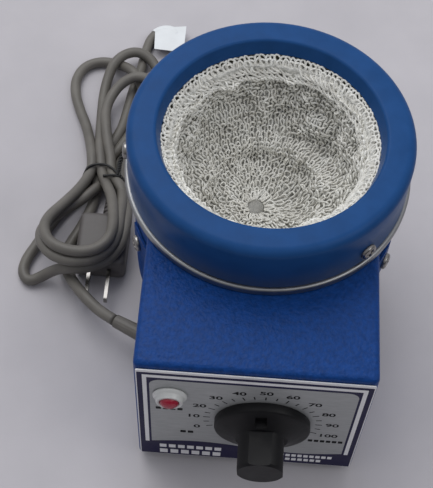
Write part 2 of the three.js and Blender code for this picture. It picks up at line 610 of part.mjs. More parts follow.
function hank() {
  const points = HANK_OUTLINE.map(([x, y]) => new THREE.Vector2(x, y));
  const outline = new THREE.Shape().setFromPoints(points);
  const room = 0.6;
  const plugRear = PLUG.front + PLUG.length;
  const plugRoom = [
    block([PLUG.x - PLUG.width / 2 - room, PLUG.x + PLUG.width / 2 + room], [0, plugRear + room],
      [-1, PLUG.height + HANK_BOTTOM + room]),
    block([PLUG.neckX - 5.5, PLUG.neckX + 5.5], [PLUG.front, plugRear + 17], [-1, 15]),
    block([-105.5, PLUG.x], [0, 28.5], [-1, 15.2]),
  ];
  const slopes = [
    block([-140, -30], [WAIST.y - 12, WAIST.y + 12], [WAIST.top, 40]),
    block([-140, -30], [WAIST.y, TAIL_Y], [UPPER_TOP, 40]),
    block([-140, -30], [TAIL_Y, 220], [TAIL_TOP, 40]),
  ];
  part('cord_hank', cut(slab(outline, [HANK_BOTTOM, HANK_TOP]), ...plugRoom, ...slopes), 'cord');
}

function cordTie() {
  const { y, top, left, right } = WAIST;
  const wire = 1.6;
  const bands = [
    block([left - wire - 0.5, left - 0.5], [y - 2, y + 2], [HANK_BOTTOM, top + wire + GAP]),
    block([right + 2, right + 2 + wire], [y - 2, y + 2], [HANK_BOTTOM, top + wire + GAP]),
    block([left - wire - 0.5, right + 2 + wire], [y - 2, y + 2], [top + GAP, top + wire + GAP]),
  ];
  part('cord_tie', join(...bands), 'rubber');
}

function plug() {
  const { x, front, length, width, height, pinSpacing, neckX } = PLUG;
  const rear = front + length;
  const bottom = HANK_BOTTOM;
  const body = roundedBlock([x - width / 2, x + width / 2], [front, rear], [bottom, bottom + height], 3);
  const neckRadius = 4.6;
  const neck = revolve([[0, -1], [neckRadius, -1], [3.8, 16], [0, 16]], 16);
  const middle = [neckX, rear, bottom + height / 2];
  part('plug_body', join(body, aim(neck, [0, 1, 0], middle)), 'plug');
  const pin = { thickness: 1.8, height: 4.4, length: 19, z: 10 };
  [-1, 1].forEach((side, i) => {
    const at = x + (side * pinSpacing) / 2;
    const profile = rectangle([front - GAP - pin.length, front - GAP],
      [pin.z - pin.height / 2, pin.z + pin.height / 2], 1.2);
    const blade = slabAlongX(profile, [at - pin.thickness / 2, at + pin.thickness / 2]);
    part(`plug_pin_${i + 1}`, blade, 'steel');
  });
}

function cordTag() {
  const outline = rectangle([-70.5, -51.5], [184, 206.5], 1.5, 2);
  part('cord_tag', slab(outline, [TAIL_TOP + GAP, TAIL_TOP + GAP + 0.8]), 'tag');
}

// ---------------------------------------------------------------- assembly

topRing();
beadRing();
lowerPan();
fibreWell();
woolPacking();
heatingElement();
bodyScrews();
controlBox();
baseTray();
feet();
trayScrews();
panelLabel();
lamp();
regulator();
knob();
wiring();
strainRelief();
part('mains_cord', tube(CORD_ROUTE, CORD_RADIUS, 16, 10), 'cord');
hank();
cordTie();
plug();
cordTag();

export default assembly;
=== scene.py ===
"""A laboratory heating mantle with its control box and tied mains cord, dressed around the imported
CAD frame. Lengths in the builders below are millimetres; MM turns them into metres."""

import json
import math
import random

import bmesh
import bpy
from mathutils import Matrix, Vector, noise


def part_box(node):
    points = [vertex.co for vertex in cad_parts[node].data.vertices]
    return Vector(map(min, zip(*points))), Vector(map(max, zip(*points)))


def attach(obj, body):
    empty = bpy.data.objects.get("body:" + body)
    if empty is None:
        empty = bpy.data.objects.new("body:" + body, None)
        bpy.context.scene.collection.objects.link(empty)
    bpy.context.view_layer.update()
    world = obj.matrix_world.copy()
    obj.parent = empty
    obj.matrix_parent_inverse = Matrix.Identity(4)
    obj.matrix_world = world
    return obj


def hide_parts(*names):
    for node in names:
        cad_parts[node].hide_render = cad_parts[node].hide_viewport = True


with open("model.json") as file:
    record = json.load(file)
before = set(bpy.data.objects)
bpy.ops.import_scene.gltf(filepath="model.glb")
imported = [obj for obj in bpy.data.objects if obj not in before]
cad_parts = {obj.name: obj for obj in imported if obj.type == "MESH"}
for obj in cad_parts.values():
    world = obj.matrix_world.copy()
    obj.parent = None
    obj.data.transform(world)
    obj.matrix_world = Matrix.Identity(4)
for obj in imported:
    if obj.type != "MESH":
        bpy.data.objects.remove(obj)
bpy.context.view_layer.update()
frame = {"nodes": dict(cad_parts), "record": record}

MM = 0.001
BODY = "body"
KNOB_BODY = "dial_knob"


# ---------------- sizes, read from the CAD frame


def span(node):
    """A CAD node's lowest and highest corners in millimetres."""
    low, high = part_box(node)
    return [c / MM for c in low], [c / MM for c in high]


RING_LOW, RING_HIGH = span("top_ring")
RING_RADIUS = (RING_HIGH[0] - RING_LOW[0]) / 2
RING_TOP = RING_HIGH[2]
AXIS_Y = (RING_LOW[1] + RING_HIGH[1]) / 2
BEAD_LOW, BEAD_HIGH = span("bead_ring")
BEAD_RADIUS = (BEAD_HIGH[0] - BEAD_LOW[0]) / 2
PAN_LOW, PAN_HIGH = span("lower_pan")
PAN_RADIUS = (PAN_HIGH[0] - PAN_LOW[0]) / 2
BOX_LOW, BOX_HIGH = span("control_box")
LABEL_LOW, LABEL_HIGH = span("panel_label")
LABEL_FRONT = LABEL_LOW[1]
WELL_LOW, WELL_HIGH = span("fibre_well")
LENS_LOW, LENS_HIGH = span("lamp_lens")
LAMP_X = (LENS_LOW[0] + LENS_HIGH[0]) / 2
LAMP_Z = (LENS_LOW[2] + LENS_HIGH[2]) / 2
SHAFT_LOW, SHAFT_HIGH = span("regulator_shaft")
DIAL_X = (SHAFT_LOW[0] + SHAFT_HIGH[0]) / 2
DIAL_Z = (SHAFT_LOW[2] + SHAFT_HIGH[2]) / 2
KNOB_LOW, _ = span("knob")
PLUG_LOW, PLUG_HIGH = span("plug_body")
TAG_LOW, TAG_HIGH = span("cord_tag")

SHEET = 1.2  # thickness of all the sheet metal
WELL_RADIUS = 45.0
WELL_WALL = 4.0
WELL_CENTRE_Z = WELL_LOW[2] + WELL_RADIUS + WELL_WALL
RIM_Z = WELL_HIGH[2]
RESTING_TURN = math.radians(-4.4)  # the knob points just left of straight up


# ---------------- camera


CAMERA_AT = (-0.0152, -0.2816, 0.5531)
CAMERA_TURN = (31.68, -1.89, 3.70)  # degrees about X, Y and Z
LENS = 57.4  # over a frame 24 mm high
LENS_SHIFT = (-0.0141, -0.0207)


def make_camera():
    """The camera stands in front of the mantle and looks steeply down on it."""
    data = bpy.data.cameras.new("camera")
    data.sensor_fit = "VERTICAL"
    data.sensor_height = 24
    data.lens = LENS
    data.shift_x, data.shift_y = LENS_SHIFT
    data.dof.use_dof = False
    camera = bpy.data.objects.new("camera", data)
    camera.location = CAMERA_AT
    camera.rotation_euler = [math.radians(a) for a in CAMERA_TURN]
    bpy.context.scene.collection.objects.link(camera)
    bpy.context.scene.camera = camera


# ---------------- mesh helpers


def add_piece(name, mesh, material, body=BODY, smooth=True):
    """Links a mesh as a piece that rides on a body."""
    piece = bpy.data.objects.new(name, mesh)
    bpy.context.scene.collection.objects.link(piece)
    mesh.materials.append(material)
    if smooth:
        mesh.shade_smooth()
    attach(piece, body)
    return piece


def mesh_from(name, points, faces):
    """A mesh from points in millimetres."""
    mesh = bpy.data.meshes.new(name)
    mesh.from_pydata([tuple(c * MM for c in p) for p in points], [], faces)
    mesh.validate()
    return mesh


def smooth_path(points, step):
    """Evenly spaced points along a centripetal Catmull-Rom curve through the given ones."""
    knots = [Vector(p) for p in points]
    ends = [2 * knots[0] - knots[1], *knots, 2 * knots[-1] - knots[-2]]
    dense = []
    for a, b, c, d in zip(ends, ends[1:], ends[2:], ends[3:]):
        t0 = 0.0
        t1 = t0 + (b - a).length ** 0.5
        t2 = t1 + (c - b).length ** 0.5
        t3 = t2 + (d - c).length ** 0.5
        count = max(2, int((c - b).length / (step * 0.25)))
        for i in range(count):
            t = t1 + (t2 - t1) * i / count
            ab = a + (b - a) * ((t - t0) / (t1 - t0))
            bc = b + (c - b) * ((t - t1) / (t2 - t1))
            cd = c + (d - c) * ((t - t2) / (t3 - t2))
            abc = ab + (bc - ab) * ((t - t0) / (t2 - t0))
            bcd = bc + (cd - bc) * ((t - t1) / (t3 - t1))
            dense.append(abc + (bcd - abc) * ((t - t1) / (t2 - t1)))
    dense.append(knots[-1])
    even = [dense[0]]
    travelled = 0.0
    for a, b in zip(dense, dense[1:]):
        travelled += (b - a).length
        if travelled >= step:
            even.append(b)
            travelled = 0.0
    if (even[-1] - dense[-1]).length > step * 0.3:
        even.append(dense[-1])
    return even


def relaxed(points, rounds):
    """The same path with its small kinks evened out, its ends kept."""
    for _ in range(rounds):
        points = [
            points[0],
            *[(a + 2 * b + c) / 4 for a, b, c in zip(points, points[1:], points[2:])],
            points[-1],
        ]
    return points


def tube_mesh(name, path, radius, sides=12, closed=False):
    """A round tube along the path, with flat ends unless it closes on itself.
    The radius is a number or a function of the share of the way along."""
    count = len(path)
    size = radius if callable(radius) else lambda share: radius
    points = []
    normal = None
    for i, p in enumerate(path):
        before = path[i - 1] if (i or closed) else p
        after = path[(i + 1) % count] if (i + 1 < count or closed) else p
        along = (after - before).normalized()
        if normal is None:
            normal = along.orthogonal().normalized()
        normal = (normal - along * normal.dot(along)).normalized()
        side = along.cross(normal)
        r = size(i / max(1, count - 1))
        for k in range(sides):
            angle = 2 * math.pi * k / sides
            points.append(p + r * (math.cos(angle) * normal + math.sin(angle) * side))
    faces = []
    for i in range(count if closed else count - 1):
        j = (i + 1) % count
        for k in range(sides):
            m = (k + 1) % sides
            faces.append((i * sides + k, i * sides + m, j * sides + m, j * sides + k))
    if not closed:
        faces.append(tuple(range(sides - 1, -1, -1)))
        faces.append(tuple(range((count - 1) * sides, count * sides)))
    return mesh_from(name, points, faces)


def circle(radius, count):
    """(x, y) pairs evenly round a circle about the origin."""
    angles = [2 * math.pi * k / count for k in range(count)]
    return [(radius * math.cos(a), radius * math.sin(a)) for a in angles]


def arc(centre_r, centre_z, radius, start, end, steps):
    """(radius, height) pairs on an arc, angles in degrees from the outward direction."""
    angles = [math.radians(start + (end - start) * i / steps) for i in range(steps + 1)]
    return [(centre_r + radius * math.cos(a), centre_z + radius * math.sin(a)) for a in angles]


def lathe_mesh(name, profile, segments=96):
    """A closed solid of revolution about +Z. A profile that ends off the axis closes on itself."""
    points = []
    rings = []
    for r, z in profile:
        if r < 1e-6:
            rings.append([len(points)])
            points.append((0.0, 0.0, z))
        else:
            rings.append(list(range(len(points), len(points) + segments)))
            points += [(x, y, z) for x, y in circle(r, segments)]
    pairs = list(zip(rings, rings[1:]))
    if len(rings[0]) > 1 and len(rings[-1]) > 1:
        pairs.append((rings[-1], rings[0]))
    faces = []
    for low, high in pairs:
        for k in range(segments):
            m = (k + 1) % segments
            corners = (low[k % len(low)], low[m % len(low)], high[m % len(high)], high[k % len(high)])
            faces.append(tuple(dict.fromkeys(corners)))
    return mesh_from(name, points, faces)


def placed(mesh, matrix):
    """The mesh moved by a matrix whose shift is in millimetres."""
    scaled = matrix.copy()
    scaled.translation = matrix.translation * MM
    mesh.transform(scaled)
    return mesh


def facing(direction, at):
    """Turns +Z to the direction and shifts to a point in millimetres."""
    turn = Vector((0, 0, 1)).rotation_difference(Vector(direction).normalized()).to_matrix().to_4x4()
    return Matrix.Translation(Vector(at)) @ turn


def on_panel(x, z, y=LABEL_FRONT):
    """A frame whose +Z points out of the panel at the user and whose +Y is up."""
    turn = Matrix(((1, 0, 0), (0, 0, -1), (0, 1, 0))).to_4x4()
    return Matrix.Translation(Vector((x, y, z))) @ turn


def sharpen(piece, degrees=35):
    """Marks edges sharper than an angle, so that flats stay flat beside smooth curves."""
    mesh = piece.data
    work = bmesh.new()
    work.from_mesh(mesh)
    for edge in work.edges:
        edge.smooth = not edge.is_manifold or edge.calc_face_angle(0) < math.radians(degrees)
    work.to_mesh(mesh)
    work.free()
    return piece


def merged(name, meshes):
    """One mesh from several, which are used up."""
    work = bmesh.new()
    for mesh in meshes:
        work.from_mesh(mesh)
        bpy.data.meshes.remove(mesh)
    mesh = bpy.data.meshes.new(name)
    work.to_mesh(mesh)
    work.free()
    return mesh


# ---------------- cord: route, hank, tie, plug and tag

CORD_RADIUS = 3.0
CORD_LEAD = [(-71.3, -7.6, 18.2), (-80.4, -1.5, 16.9), (-88.8, 6.5, 16), (-95.2, 15, 12.5), (-100.3, 24.3, 7)]
UNDER_HANK = [
    (-103, 32, 3.8), (-103.8, 39, 3.2), (-101.5, 47, 3.1), (-98.5, 54, 3.1), (-96, 61, 3.1),
    (-93.8, 69, 3.1), (-92.3, 80, 3.1), (-92, 92, 3.1),
]
FIRST_TOP_LOOP = [
    (-87.5, 102.5, 3.1), (-81.5, 113.5, 3.1), (-76.5, 125, 3.1), (-73.2, 136, 3.3), (-72.3, 146, 5),
    (-74.7, 155.5, 8.4), (-79.6, 163, 9.3), (-85.2, 169, 6.6), (-91.3, 173, 3.8), (-98.1, 174.7, 3.1),
    (-105.3, 172.9, 3.1), (-110.8, 168.1, 3.1), (-113.8, 159.4, 3.1), (-113, 149.3, 3.1),
    (-108.9, 137.3, 3.1), (-103.4, 124.5, 4.3), (-99, 110, 7.2), (-96.6, 99, 8.9), (-96, 92, 8.9),
]
TOP_BOTTOM_LOOP = [
    (-97.3, 84.9, 10), (-101.1, 73.9, 13.3), (-107.6, 60.5, 18), (-112.3, 50.7, 22), (-113.9, 42.6, 25.2),
    (-112.5, 35.8, 27.3), (-108.7, 30.1, 28.8), (-102.4, 26.4, 29.7), (-95.8, 24.9, 30), (-89.2, 25.3, 30),
    (-83.2, 28, 29.9), (-79.2, 33, 29.4), (-77.6, 40.4, 28), (-78.1, 49.3, 25.5), (-79.6, 59, 22),
    (-81.5, 67.5, 18.6), (-84.6, 76, 14.6), (-88, 84, 11), (-90.5, 92, 8.9),
]
SECOND_TOP_LOOP = [
    (-91.8, 99, 8.9), (-93.3, 108, 8.3), (-94.6, 122, 5.8), (-95.7, 137, 3.6), (-96.1, 149.5, 3.3),
    (-94.9, 160, 5.6), (-92, 169, 9), (-86.3, 176, 9.7), (-78.8, 179, 9.2), (-71.8, 176.8, 7.4),
    (-66.3, 170, 5), (-63.2, 160.5, 3.4), (-62.2, 150, 3.1), (-63.8, 138, 3.1), (-68.3, 125, 3.1),
    (-74.4, 112.5, 3.1), (-81, 101, 3.1), (-86, 92, 3.1),
]
MIDDLE_BOTTOM_LOOP = [
    (-89.3, 84, 6), (-94, 76, 9.3), (-100, 69, 9.7), (-107, 61.5, 11), (-112.8, 54, 13.8), (-116, 45.7, 17),
    (-116, 38, 20), (-113.3, 31.3, 22.4), (-107.6, 25.4, 24), (-100.6, 22.4, 24.8), (-93.4, 21.7, 25.2),
    (-86.2, 23.6, 25.2), (-80.1, 28.4, 25.1), (-76.2, 35.6, 24.6), (-75, 44.4, 23.2), (-75.2, 54, 21.6),
    (-75.6, 63, 18.4), (-76.2, 72, 14.8), (-77.6, 81, 11.2), (-79.5, 92, 8.9),
]
THIRD_TOP_LOOP = [
    (-77.4, 102, 9.2), (-72.6, 114, 9.4), (-67.6, 128, 9.4), (-65, 140, 9.9), (-65.6, 149, 11.8),
    (-70, 154.6, 14), (-76, 156, 14.6), (-82, 154.2, 13.2), (-87.2, 150, 11), (-91.1, 142.4, 9.6),
    (-92.6, 132, 9.9), (-91.2, 121, 10.6), (-88.4, 108.5, 9.9), (-86, 99, 8.9), (-85, 92, 8.9),
]
LOWEST_BOTTOM_LOOP = [
    (-82.6, 85.5, 11.4), (-78.4, 78.6, 14), (-75, 70.5, 13.6), (-72.6, 62, 15.8), (-71.6, 53, 19.4),
    (-71.9, 44, 20.2), (-73.4, 35.5, 20.3), (-77.4, 28.6, 20.3), (-83, 24, 20.3), (-89.4, 21.3, 20.2),
    (-96, 20.6, 19.4), (-102.8, 22.2, 15.4), (-109.4, 23.4, 9), (-116, 21.6, 4.6), (-121.5, 20, 3.1),
    (-125.2, 25.6, 3.1), (-124.2, 34, 3.1), (-120.9, 41.7, 3.1), (-116.7, 52, 3.1), (-111.6, 62.5, 3.1),
    (-105.5, 72, 3.1), (-100.4, 82, 3.1), (-98, 92, 3.1),
]
LAST_TOP_LOOP = [
    (-93.6, 103, 3.1), (-87.4, 113.5, 3.1), (-83, 125.5, 3.1), (-80.9, 139, 3.1), (-79.4, 152.5, 3.1),
    (-77.2, 164, 3.1), (-75.6, 175, 3.1), (-74.4, 186, 3.1), (-72.2, 195.6, 3.1), (-67, 202, 3.1),
    (-60.4, 202.9, 3.1), (-56.2, 197.6, 3.1), (-54.6, 188, 3.1), (-53.6, 175, 3.1), (-53, 163, 3.1),
    (-54.2, 151, 3.1), (-57.2, 138, 3.1), (-62.3, 124.5, 3.1), (-69, 111.5, 3.1), (-75.6, 101, 3.1),
    (-80, 92, 3.1),
]
INTO_PLUG = [(-81.6, 84.5, 5.6), (-81.7, 75.2, 8.6), (-81.6, 66, 8.8)]
CORD_ROUTE = [
    *CORD_LEAD, *UNDER_HANK, *FIRST_TOP_LOOP, *TOP_BOTTOM_LOOP, *SECOND_TOP_LOOP, *MIDDLE_BOTTOM_LOOP,
    *THIRD_TOP_LOOP, *LOWEST_BOTTOM_LOOP, *LAST_TOP_LOOP, *INTO_PLUG,
]


def build_cord(looks):
    """The cord is one tube from the strain relief to the plug, through every loop of the hank."""
    path = relaxed(smooth_path(CORD_ROUTE, 1.5), 2)
    tube = tube_mesh("cord", path, CORD_RADIUS, 14)
    cord = add_piece("cord", tube, looks["cord_jacket"])
    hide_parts("mains_cord", "cord_hank")
    plug = build_plug(looks["plug_plastic"])
    tag = build_tag(looks["tag_film"], path)
    pieces = [plug, tag, build_tie(looks["black_rubber"])]


PLUG_REAR = 58.5  # where the plug's shell ends and its neck begins
PLUG_NECK_X = INTO_PLUG[-1][0]
FACE_INSET = 2.2
FACE_PROUD = 0.4
NECK_RIBS = 5
RIB_PITCH = 2.9


def rounded_box(name, low, high, radius, segments=5):
    """A box with all its edges rounded, in millimetres."""
    work = bmesh.new()
    bmesh.ops.create_cube(work, size=1)
    for vertex in work.verts:
        for axis in range(3):
            share = vertex.co[axis] + 0.5
            vertex.co[axis] = (low[axis] + (high[axis] - low[axis]) * share) * MM
    bmesh.ops.bevel(
        work, geom=work.edges[:], offset=radius * MM, segments=segments, profile=0.5, affect="EDGES"
    )
    mesh = bpy.data.meshes.new(name)
    work.to_mesh(mesh)
    work.free()
    return mesh


def build_plug(plastic):
    """A moulded two-pin plug: a rounded shell, a flat face round the pins and a ribbed neck."""
    high = (PLUG_HIGH[0], PLUG_REAR, PLUG_HIGH[2])
    shell = rounded_box("plug_shell", PLUG_LOW, high, 3.2)
    face_low = (PLUG_LOW[0] + FACE_INSET, PLUG_LOW[1] - FACE_PROUD, PLUG_LOW[2] + FACE_INSET)
    face_high = (high[0] - FACE_INSET, PLUG_LOW[1] + 6, high[2] - FACE_INSET)
    face = rounded_box("plug_face", face_low, face_high, 0.9, 3)
    profile = [(0, -2), (4.6, -2), (4.6, 0.5)]
    for i in range(NECK_RIBS):
        z = 1.2 + RIB_PITCH * i
        wide = 4.5 - 0.14 * i
        profile += [(wide, z), (wide, z + 1.5), (wide - 0.8, z + 1.9), (wide - 0.8, z + 2.6)]
    profile += [(3.75, 16), (0, 16)]
    at = (PLUG_NECK_X, PLUG_REAR, (PLUG_LOW[2] + high[2]) / 2)
    neck = placed(lathe_mesh("plug_neck", profile, 32), facing((0, 1, 0), at))
    plug = add_piece("plug", merged("plug", [shell, face, neck]), plastic)
    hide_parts("plug_body")
    return sharpen(plug, 40)


def plate_mesh(name, outline, low, high):
    """A flat plate with the outline's shape, from one height to another."""
    count = len(outline)
    points = [(x, y, z) for z in (low, high) for x, y in outline]
    faces = [tuple(range(count - 1, -1, -1)), tuple(range(count, 2 * count))]
    faces += [(i, (i + 1) % count, count + (i + 1) % count, count + i) for i in range(count)]
    return mesh_from(name, points, faces)


TAG_SLEEVE_DEPTH = 15


def build_tag(film, path):
    """A blank white flag label: a sleeve stuck round the cord's longest loop, and its upper leaf."""
    from_y = TAG_HIGH[1] - TAG_SLEEVE_DEPTH
    inside = [p for p in path if TAG_LOW[0] < p.x < TAG_HIGH[0] - 5 and p.y > from_y]
    wrapped = [p for p in inside if p.z < 2 * CORD_RADIUS]
    sleeve_radius = CORD_RADIUS + 0.4
    sleeve = tube_mesh("tag_sleeve", wrapped, sleeve_radius, 20)
    crest = max(wrapped, key=lambda p: p.y)
    left_side = sorted(((p.x, p.y) for p in wrapped if p.x < crest.x), reverse=True)
    left, low_y = TAG_LOW[0] + 1, TAG_LOW[1]
    right = TAG_HIGH[0]
    outline = [(left, low_y + 1.2), (right, low_y), (right, crest.y + 2), *left_side]
    surface = CORD_RADIUS + sleeve_radius + 0.1
    leaf = plate_mesh("leaf", outline, surface - 0.5, surface - 0.15)
    tag = add_piece("tag", merged("tag", [sleeve, leaf]), film)
    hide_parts("cord_tag")
    return sharpen(tag, 40)


TIE_LOOP = [
    (-100.6, 86.5, 2.5), (-100.4, 86.4, 6), (-99.4, 87.4, 10), (-97.2, 90.4, 12.6), (-93.6, 92.1, 12.9),
    (-87.9, 92.4, 12.9), (-83.9, 90, 13.4), (-80.8, 86, 15.2), (-78.5, 84.2, 14), (-76.5, 82.3, 10),
    (-75.4, 81, 5), (-76.5, 82.5, 0.9), (-84, 86, 0.9), (-95, 86.5, 0.9),
]
TIE_SECOND = [(-88.2, 83.2, 15.2), (-85, 83.6, 15.6), (-81.2, 83.6, 16), (-78.6, 83, 15)]
TIE_BEHIND = [
    (-80.4, 85, 15.6), (-80.2, 88.5, 14.4), (-80.2, 94.1, 12.9), (-79.4, 99.5, 12.6), (-77, 103, 12.6),
]
TIE_TAIL = [(-80.4, 85, 15.8), (-78.2, 83.2, 15), (-76, 80.4, 12), (-74.6, 76.4, 8)]
TIE_WIRE = 0.62  # radius


def twisted_pair(name, route, offset, twist_length):
    """Two wires twisted round each other along a route."""
    line = smooth_path(route, 0.35)
    wires = []
    for phase in (0, math.pi):
        points = []
        travelled = 0.0
        for i, p in enumerate(line):
            travelled += (p - line[i - 1]).length if i else 0
            along = (line[min(i + 1, len(line) - 1)] - line[max(i - 1, 0)]).normalized()
            side = (Vector((0, 0, 1)) - along * along.z).normalized()
            turn = Matrix.Rotation(phase + 2 * math.pi * travelled / twist_length, 3, along)
            points.append(p + turn @ side * offset)
        wires.append(tube_mesh(name, points, TIE_WIRE, 8))
    return wires


def build_tie(tie_wire):
    """A twist tie: a loop round the waist of the hank, a second part turn, and twisted tails."""
    meshes = [
        tube_mesh("tie", smooth_path(TIE_LOOP, 0.8), TIE_WIRE + 0.1, 8),
        tube_mesh("tie", smooth_path(TIE_SECOND, 0.8), TIE_WIRE + 0.15, 8),
        *twisted_pair("tie", TIE_TAIL, 0.75, 3.2),
        *twisted_pair("tie", TIE_BEHIND, 0.7, 4.5),
    ]
    tie = add_piece("tie_wire", merged("tie_wire", meshes), tie_wire)
    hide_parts("cord_tie")
    return tie


# ---------------- materials


def add_node(tree, kind, inputs, **settings):
    """A new shader node. Each input is a constant or the output of another node."""
    node = tree.nodes.new(kind)
    for name, value in settings.items():
        setattr(node, name, value)
    for name, value in inputs.items():
        if isinstance(value, bpy.types.NodeSocket):
            tree.links.new(value, node.inputs[name])
        else:
            node.inputs[name].default_value = value
    return node


class Shading:
    """A Principled material whose colour, roughness and bump come from procedural noise in the
    object's own space. Sizes and depths are millimetres."""

    def __init__(self, name, color, roughness, metallic=0.0):
        self.material = bpy.data.materials.new(name)
        self.material.use_nodes = True
        self.tree = self.material.node_tree
        self.shader = self.tree.nodes["Principled BSDF"]
        self.set("Base Color", (*color, 1))
        self.set("Roughness", roughness)
        self.set("Metallic", metallic)
        self.place = self.tree.nodes.new("ShaderNodeTexCoord").outputs["Object"]
        self.normal = None

    def set(self, socket, value):
        """Gives an input of the shader a constant."""
        self.shader.inputs[socket].default_value = value
        return self

    def link(self, output, socket):
        """Feeds an input of the shader from a node."""
        self.tree.links.new(output, self.shader.inputs[socket])
        return self

    def stretched(self, scale):
        """The object's coordinates, scaled differently along each axis."""
        inputs = {"Scale": scale, "Vector": self.place}
        return add_node(self.tree, "ShaderNodeMapping", inputs).outputs["Vector"]

    def noise(self, size, detail=3.0, rough=0.55, place=None):
        """Noise whose features are about `size` across."""
        inputs = {"Scale": 1 / (size * MM), "Detail": detail, "Roughness": rough}
        inputs["Vector"] = place or self.place
        return add_node(self.tree, "ShaderNodeTexNoise", inputs).outputs["Fac"]

    def color(self, value, stops):
        """Colours the surface by a ramp over the value; stops are (position, (r, g, b))."""
        node = add_node(self.tree, "ShaderNodeValToRGB", {"Fac": value})
        elements = node.color_ramp.elements
        while len(elements) < len(stops):
            elements.new(0.5)
        for element, (position, color) in zip(elements, stops):
            element.position = position
            element.color = (*color, 1)
        return self.link(node.outputs["Color"], "Base Color")

    def roughness(self, value, low, high):
        """Lets the roughness follow the value, from low to high."""
        inputs = {"Value": value, "From Min": 0.3, "From Max": 0.7, "To Min": low, "To Max": high}
        node = add_node(self.tree, "ShaderNodeMapRange", inputs)
        return self.link(node.outputs["Result"], "Roughness")

    def bump(self, value, depth):
        """Adds relief of a depth to what is there already."""
        inputs = {"Distance": depth * MM, "Height": value}
        if self.normal:
            inputs["Normal"] = self.normal
        self.normal = add_node(self.tree, "ShaderNodeBump", inputs).outputs["Normal"]
        return self.link(self.normal, "Normal")


def mottled(name, color, roughness, metallic=0.0, size=4.0, contrast=0.18, grain=0.5, depth=0.03):
    """A plain moulded or painted finish with slight colour drift and a fine grain."""
    shading = Shading(name, color, roughness, metallic)
    drift = shading.noise(size)
    dark = tuple(c * (1 - contrast) for c in color)
    light = tuple(min(1, c * (1 + contrast)) for c in color)
    shading.color(drift, [(0.3, dark), (0.7, light)])
    shading.roughness(drift, roughness * 0.88, min(1, roughness * 1.12))
    return shading.bump(shading.noise(grain, 2), depth)


def spun_lines(shading, pitch, depth):
    """Fine rings about the body's axis, as a spinning lathe or a polishing pad leaves them."""
    tree = shading.tree

    def vector_math(operation, inputs):
        return add_node(tree, "ShaderNodeVectorMath", inputs, operation=operation).outputs

    from_axis = vector_math("SUBTRACT", {0: shading.place, 1: (0, AXIS_Y * MM, 0)})[0]
    flat = vector_math("MULTIPLY", {0: from_axis, 1: (1, 1, 0)})[0]
    reach = vector_math("LENGTH", {0: flat})["Value"]
    height = add_node(tree, "ShaderNodeSeparateXYZ", {0: shading.place}).outputs["Z"]
    turned = add_node(tree, "ShaderNodeCombineXYZ", {"X": reach, "Y": height}).outputs[0]
    return shading.bump(shading.noise(pitch, 2, place=turned), depth)


def ring_paint():
    """Smooth blue enamel with the spinning tool's rings faintly under it."""
    shading = mottled("ring_paint", (0.0145, 0.066, 0.205), 0.34, 0, 9, 0.08, 0.9, 0.02)
    shading.set("Specular IOR Level", 0.07)
    return spun_lines(shading, 0.5, 0.006).material


def box_paint():
    """Powder coat: a dappled orange peel about as coarse as sand."""
    shading = mottled("box_paint", (0.0055, 0.045, 0.200), 0.38, 0, 2.4, 0.20, 1.3, 0.42)
    shading.bump(shading.noise(0.55, 2), 0.06)
    return shading.set("Specular IOR Level", 0.13).material


def bare_metal(name, color=(0.32, 0.325, 0.33), roughness=0.42):
    """Plain metal with a slight drift in its polish."""
    return mottled(name, color, roughness, 1.0, 5, 0.06, 0.4, 0.004)


def brushed_print():
    """The label's grey field: short horizontal brushing in silver ink."""
    shading = Shading("label_grey", (0.30, 0.31, 0.31), 0.48, 0.35)
    lines = shading.noise(0.35, 2, place=shading.stretched((0.06, 1, 1)))
    shading.color(lines, [(0.3, (0.35, 0.36, 0.365)), (0.7, (0.44, 0.45, 0.455))])
    return shading.bump(lines, 0.003).material


def fibre_yarn(name="glass_yarn", shade=1.0):
    """Off-white glass yarn: fine filaments and slightly scorched or dusty patches."""
    shading = Shading(name, (0.66, 0.66, 0.60), 0.5)
    drift = shading.noise(6, 4)
    tones = [(0.28, (0.76, 0.745, 0.69)), (0.5, (0.88, 0.87, 0.82)), (0.75, (0.95, 0.95, 0.91))]
    shading.color(drift, [(at, tuple(c * shade for c in tone)) for at, tone in tones])
    shading.bump(shading.noise(0.2, 3), 0.14)
    return shading.set("Specular IOR Level", 0.5).material


def fibre_backing():
    """The felted cloth that shows between the stitches, darker than the yarn as painted shade."""
    shading = Shading("fibre_backing", (0.17, 0.18, 0.165), 0.9)
    lumps = shading.noise(1.6, 4)
    # the ramp stays darker than the yarn's: painted shade for the gaps between the stitches
    shading.color(lumps, [(0.3, (0.44, 0.44, 0.41)), (0.7, (0.82, 0.81, 0.76))])
    return shading.bump(lumps, 0.9).material


def mineral_wool():
    """Yellowish insulation in flattened strands."""
    shading = Shading("mineral_wool", (0.55, 0.50, 0.33), 1.0)
    strands = shading.noise(1.6, 5, 0.7, shading.stretched((1, 1, 3)))
    shading.color(strands, [(0.3, (0.40, 0.36, 0.22)), (0.7, (0.66, 0.61, 0.44))])
    return shading.bump(strands, 1.2).material


def cord_jacket():
    """Grey-brown cord sheath, handled and a little dusty."""
    shading = Shading("cord_jacket", (0.130, 0.120, 0.105), 0.5)
    drift = shading.noise(14, 3)
    shading.color(drift, [(0.3, (0.110, 0.102, 0.090)), (0.7, (0.155, 0.145, 0.128))])
    shading.roughness(drift, 0.42, 0.58)
    return shading.bump(shading.noise(0.7, 3), 0.03).material


def red_lens():
    """Red moulded glass with small facets."""
    shading = Shading("red_lens", (0.34, 0.006, 0.030), 0.2)
    inputs = {"Scale": 1 / (1.1 * MM), "Vector": shading.place}
    facets = add_node(shading.tree, "ShaderNodeTexVoronoi", inputs)
    shading.bump(facets.outputs["Distance"], 0.12)
    return shading.set("Coat Weight", 0.2).material


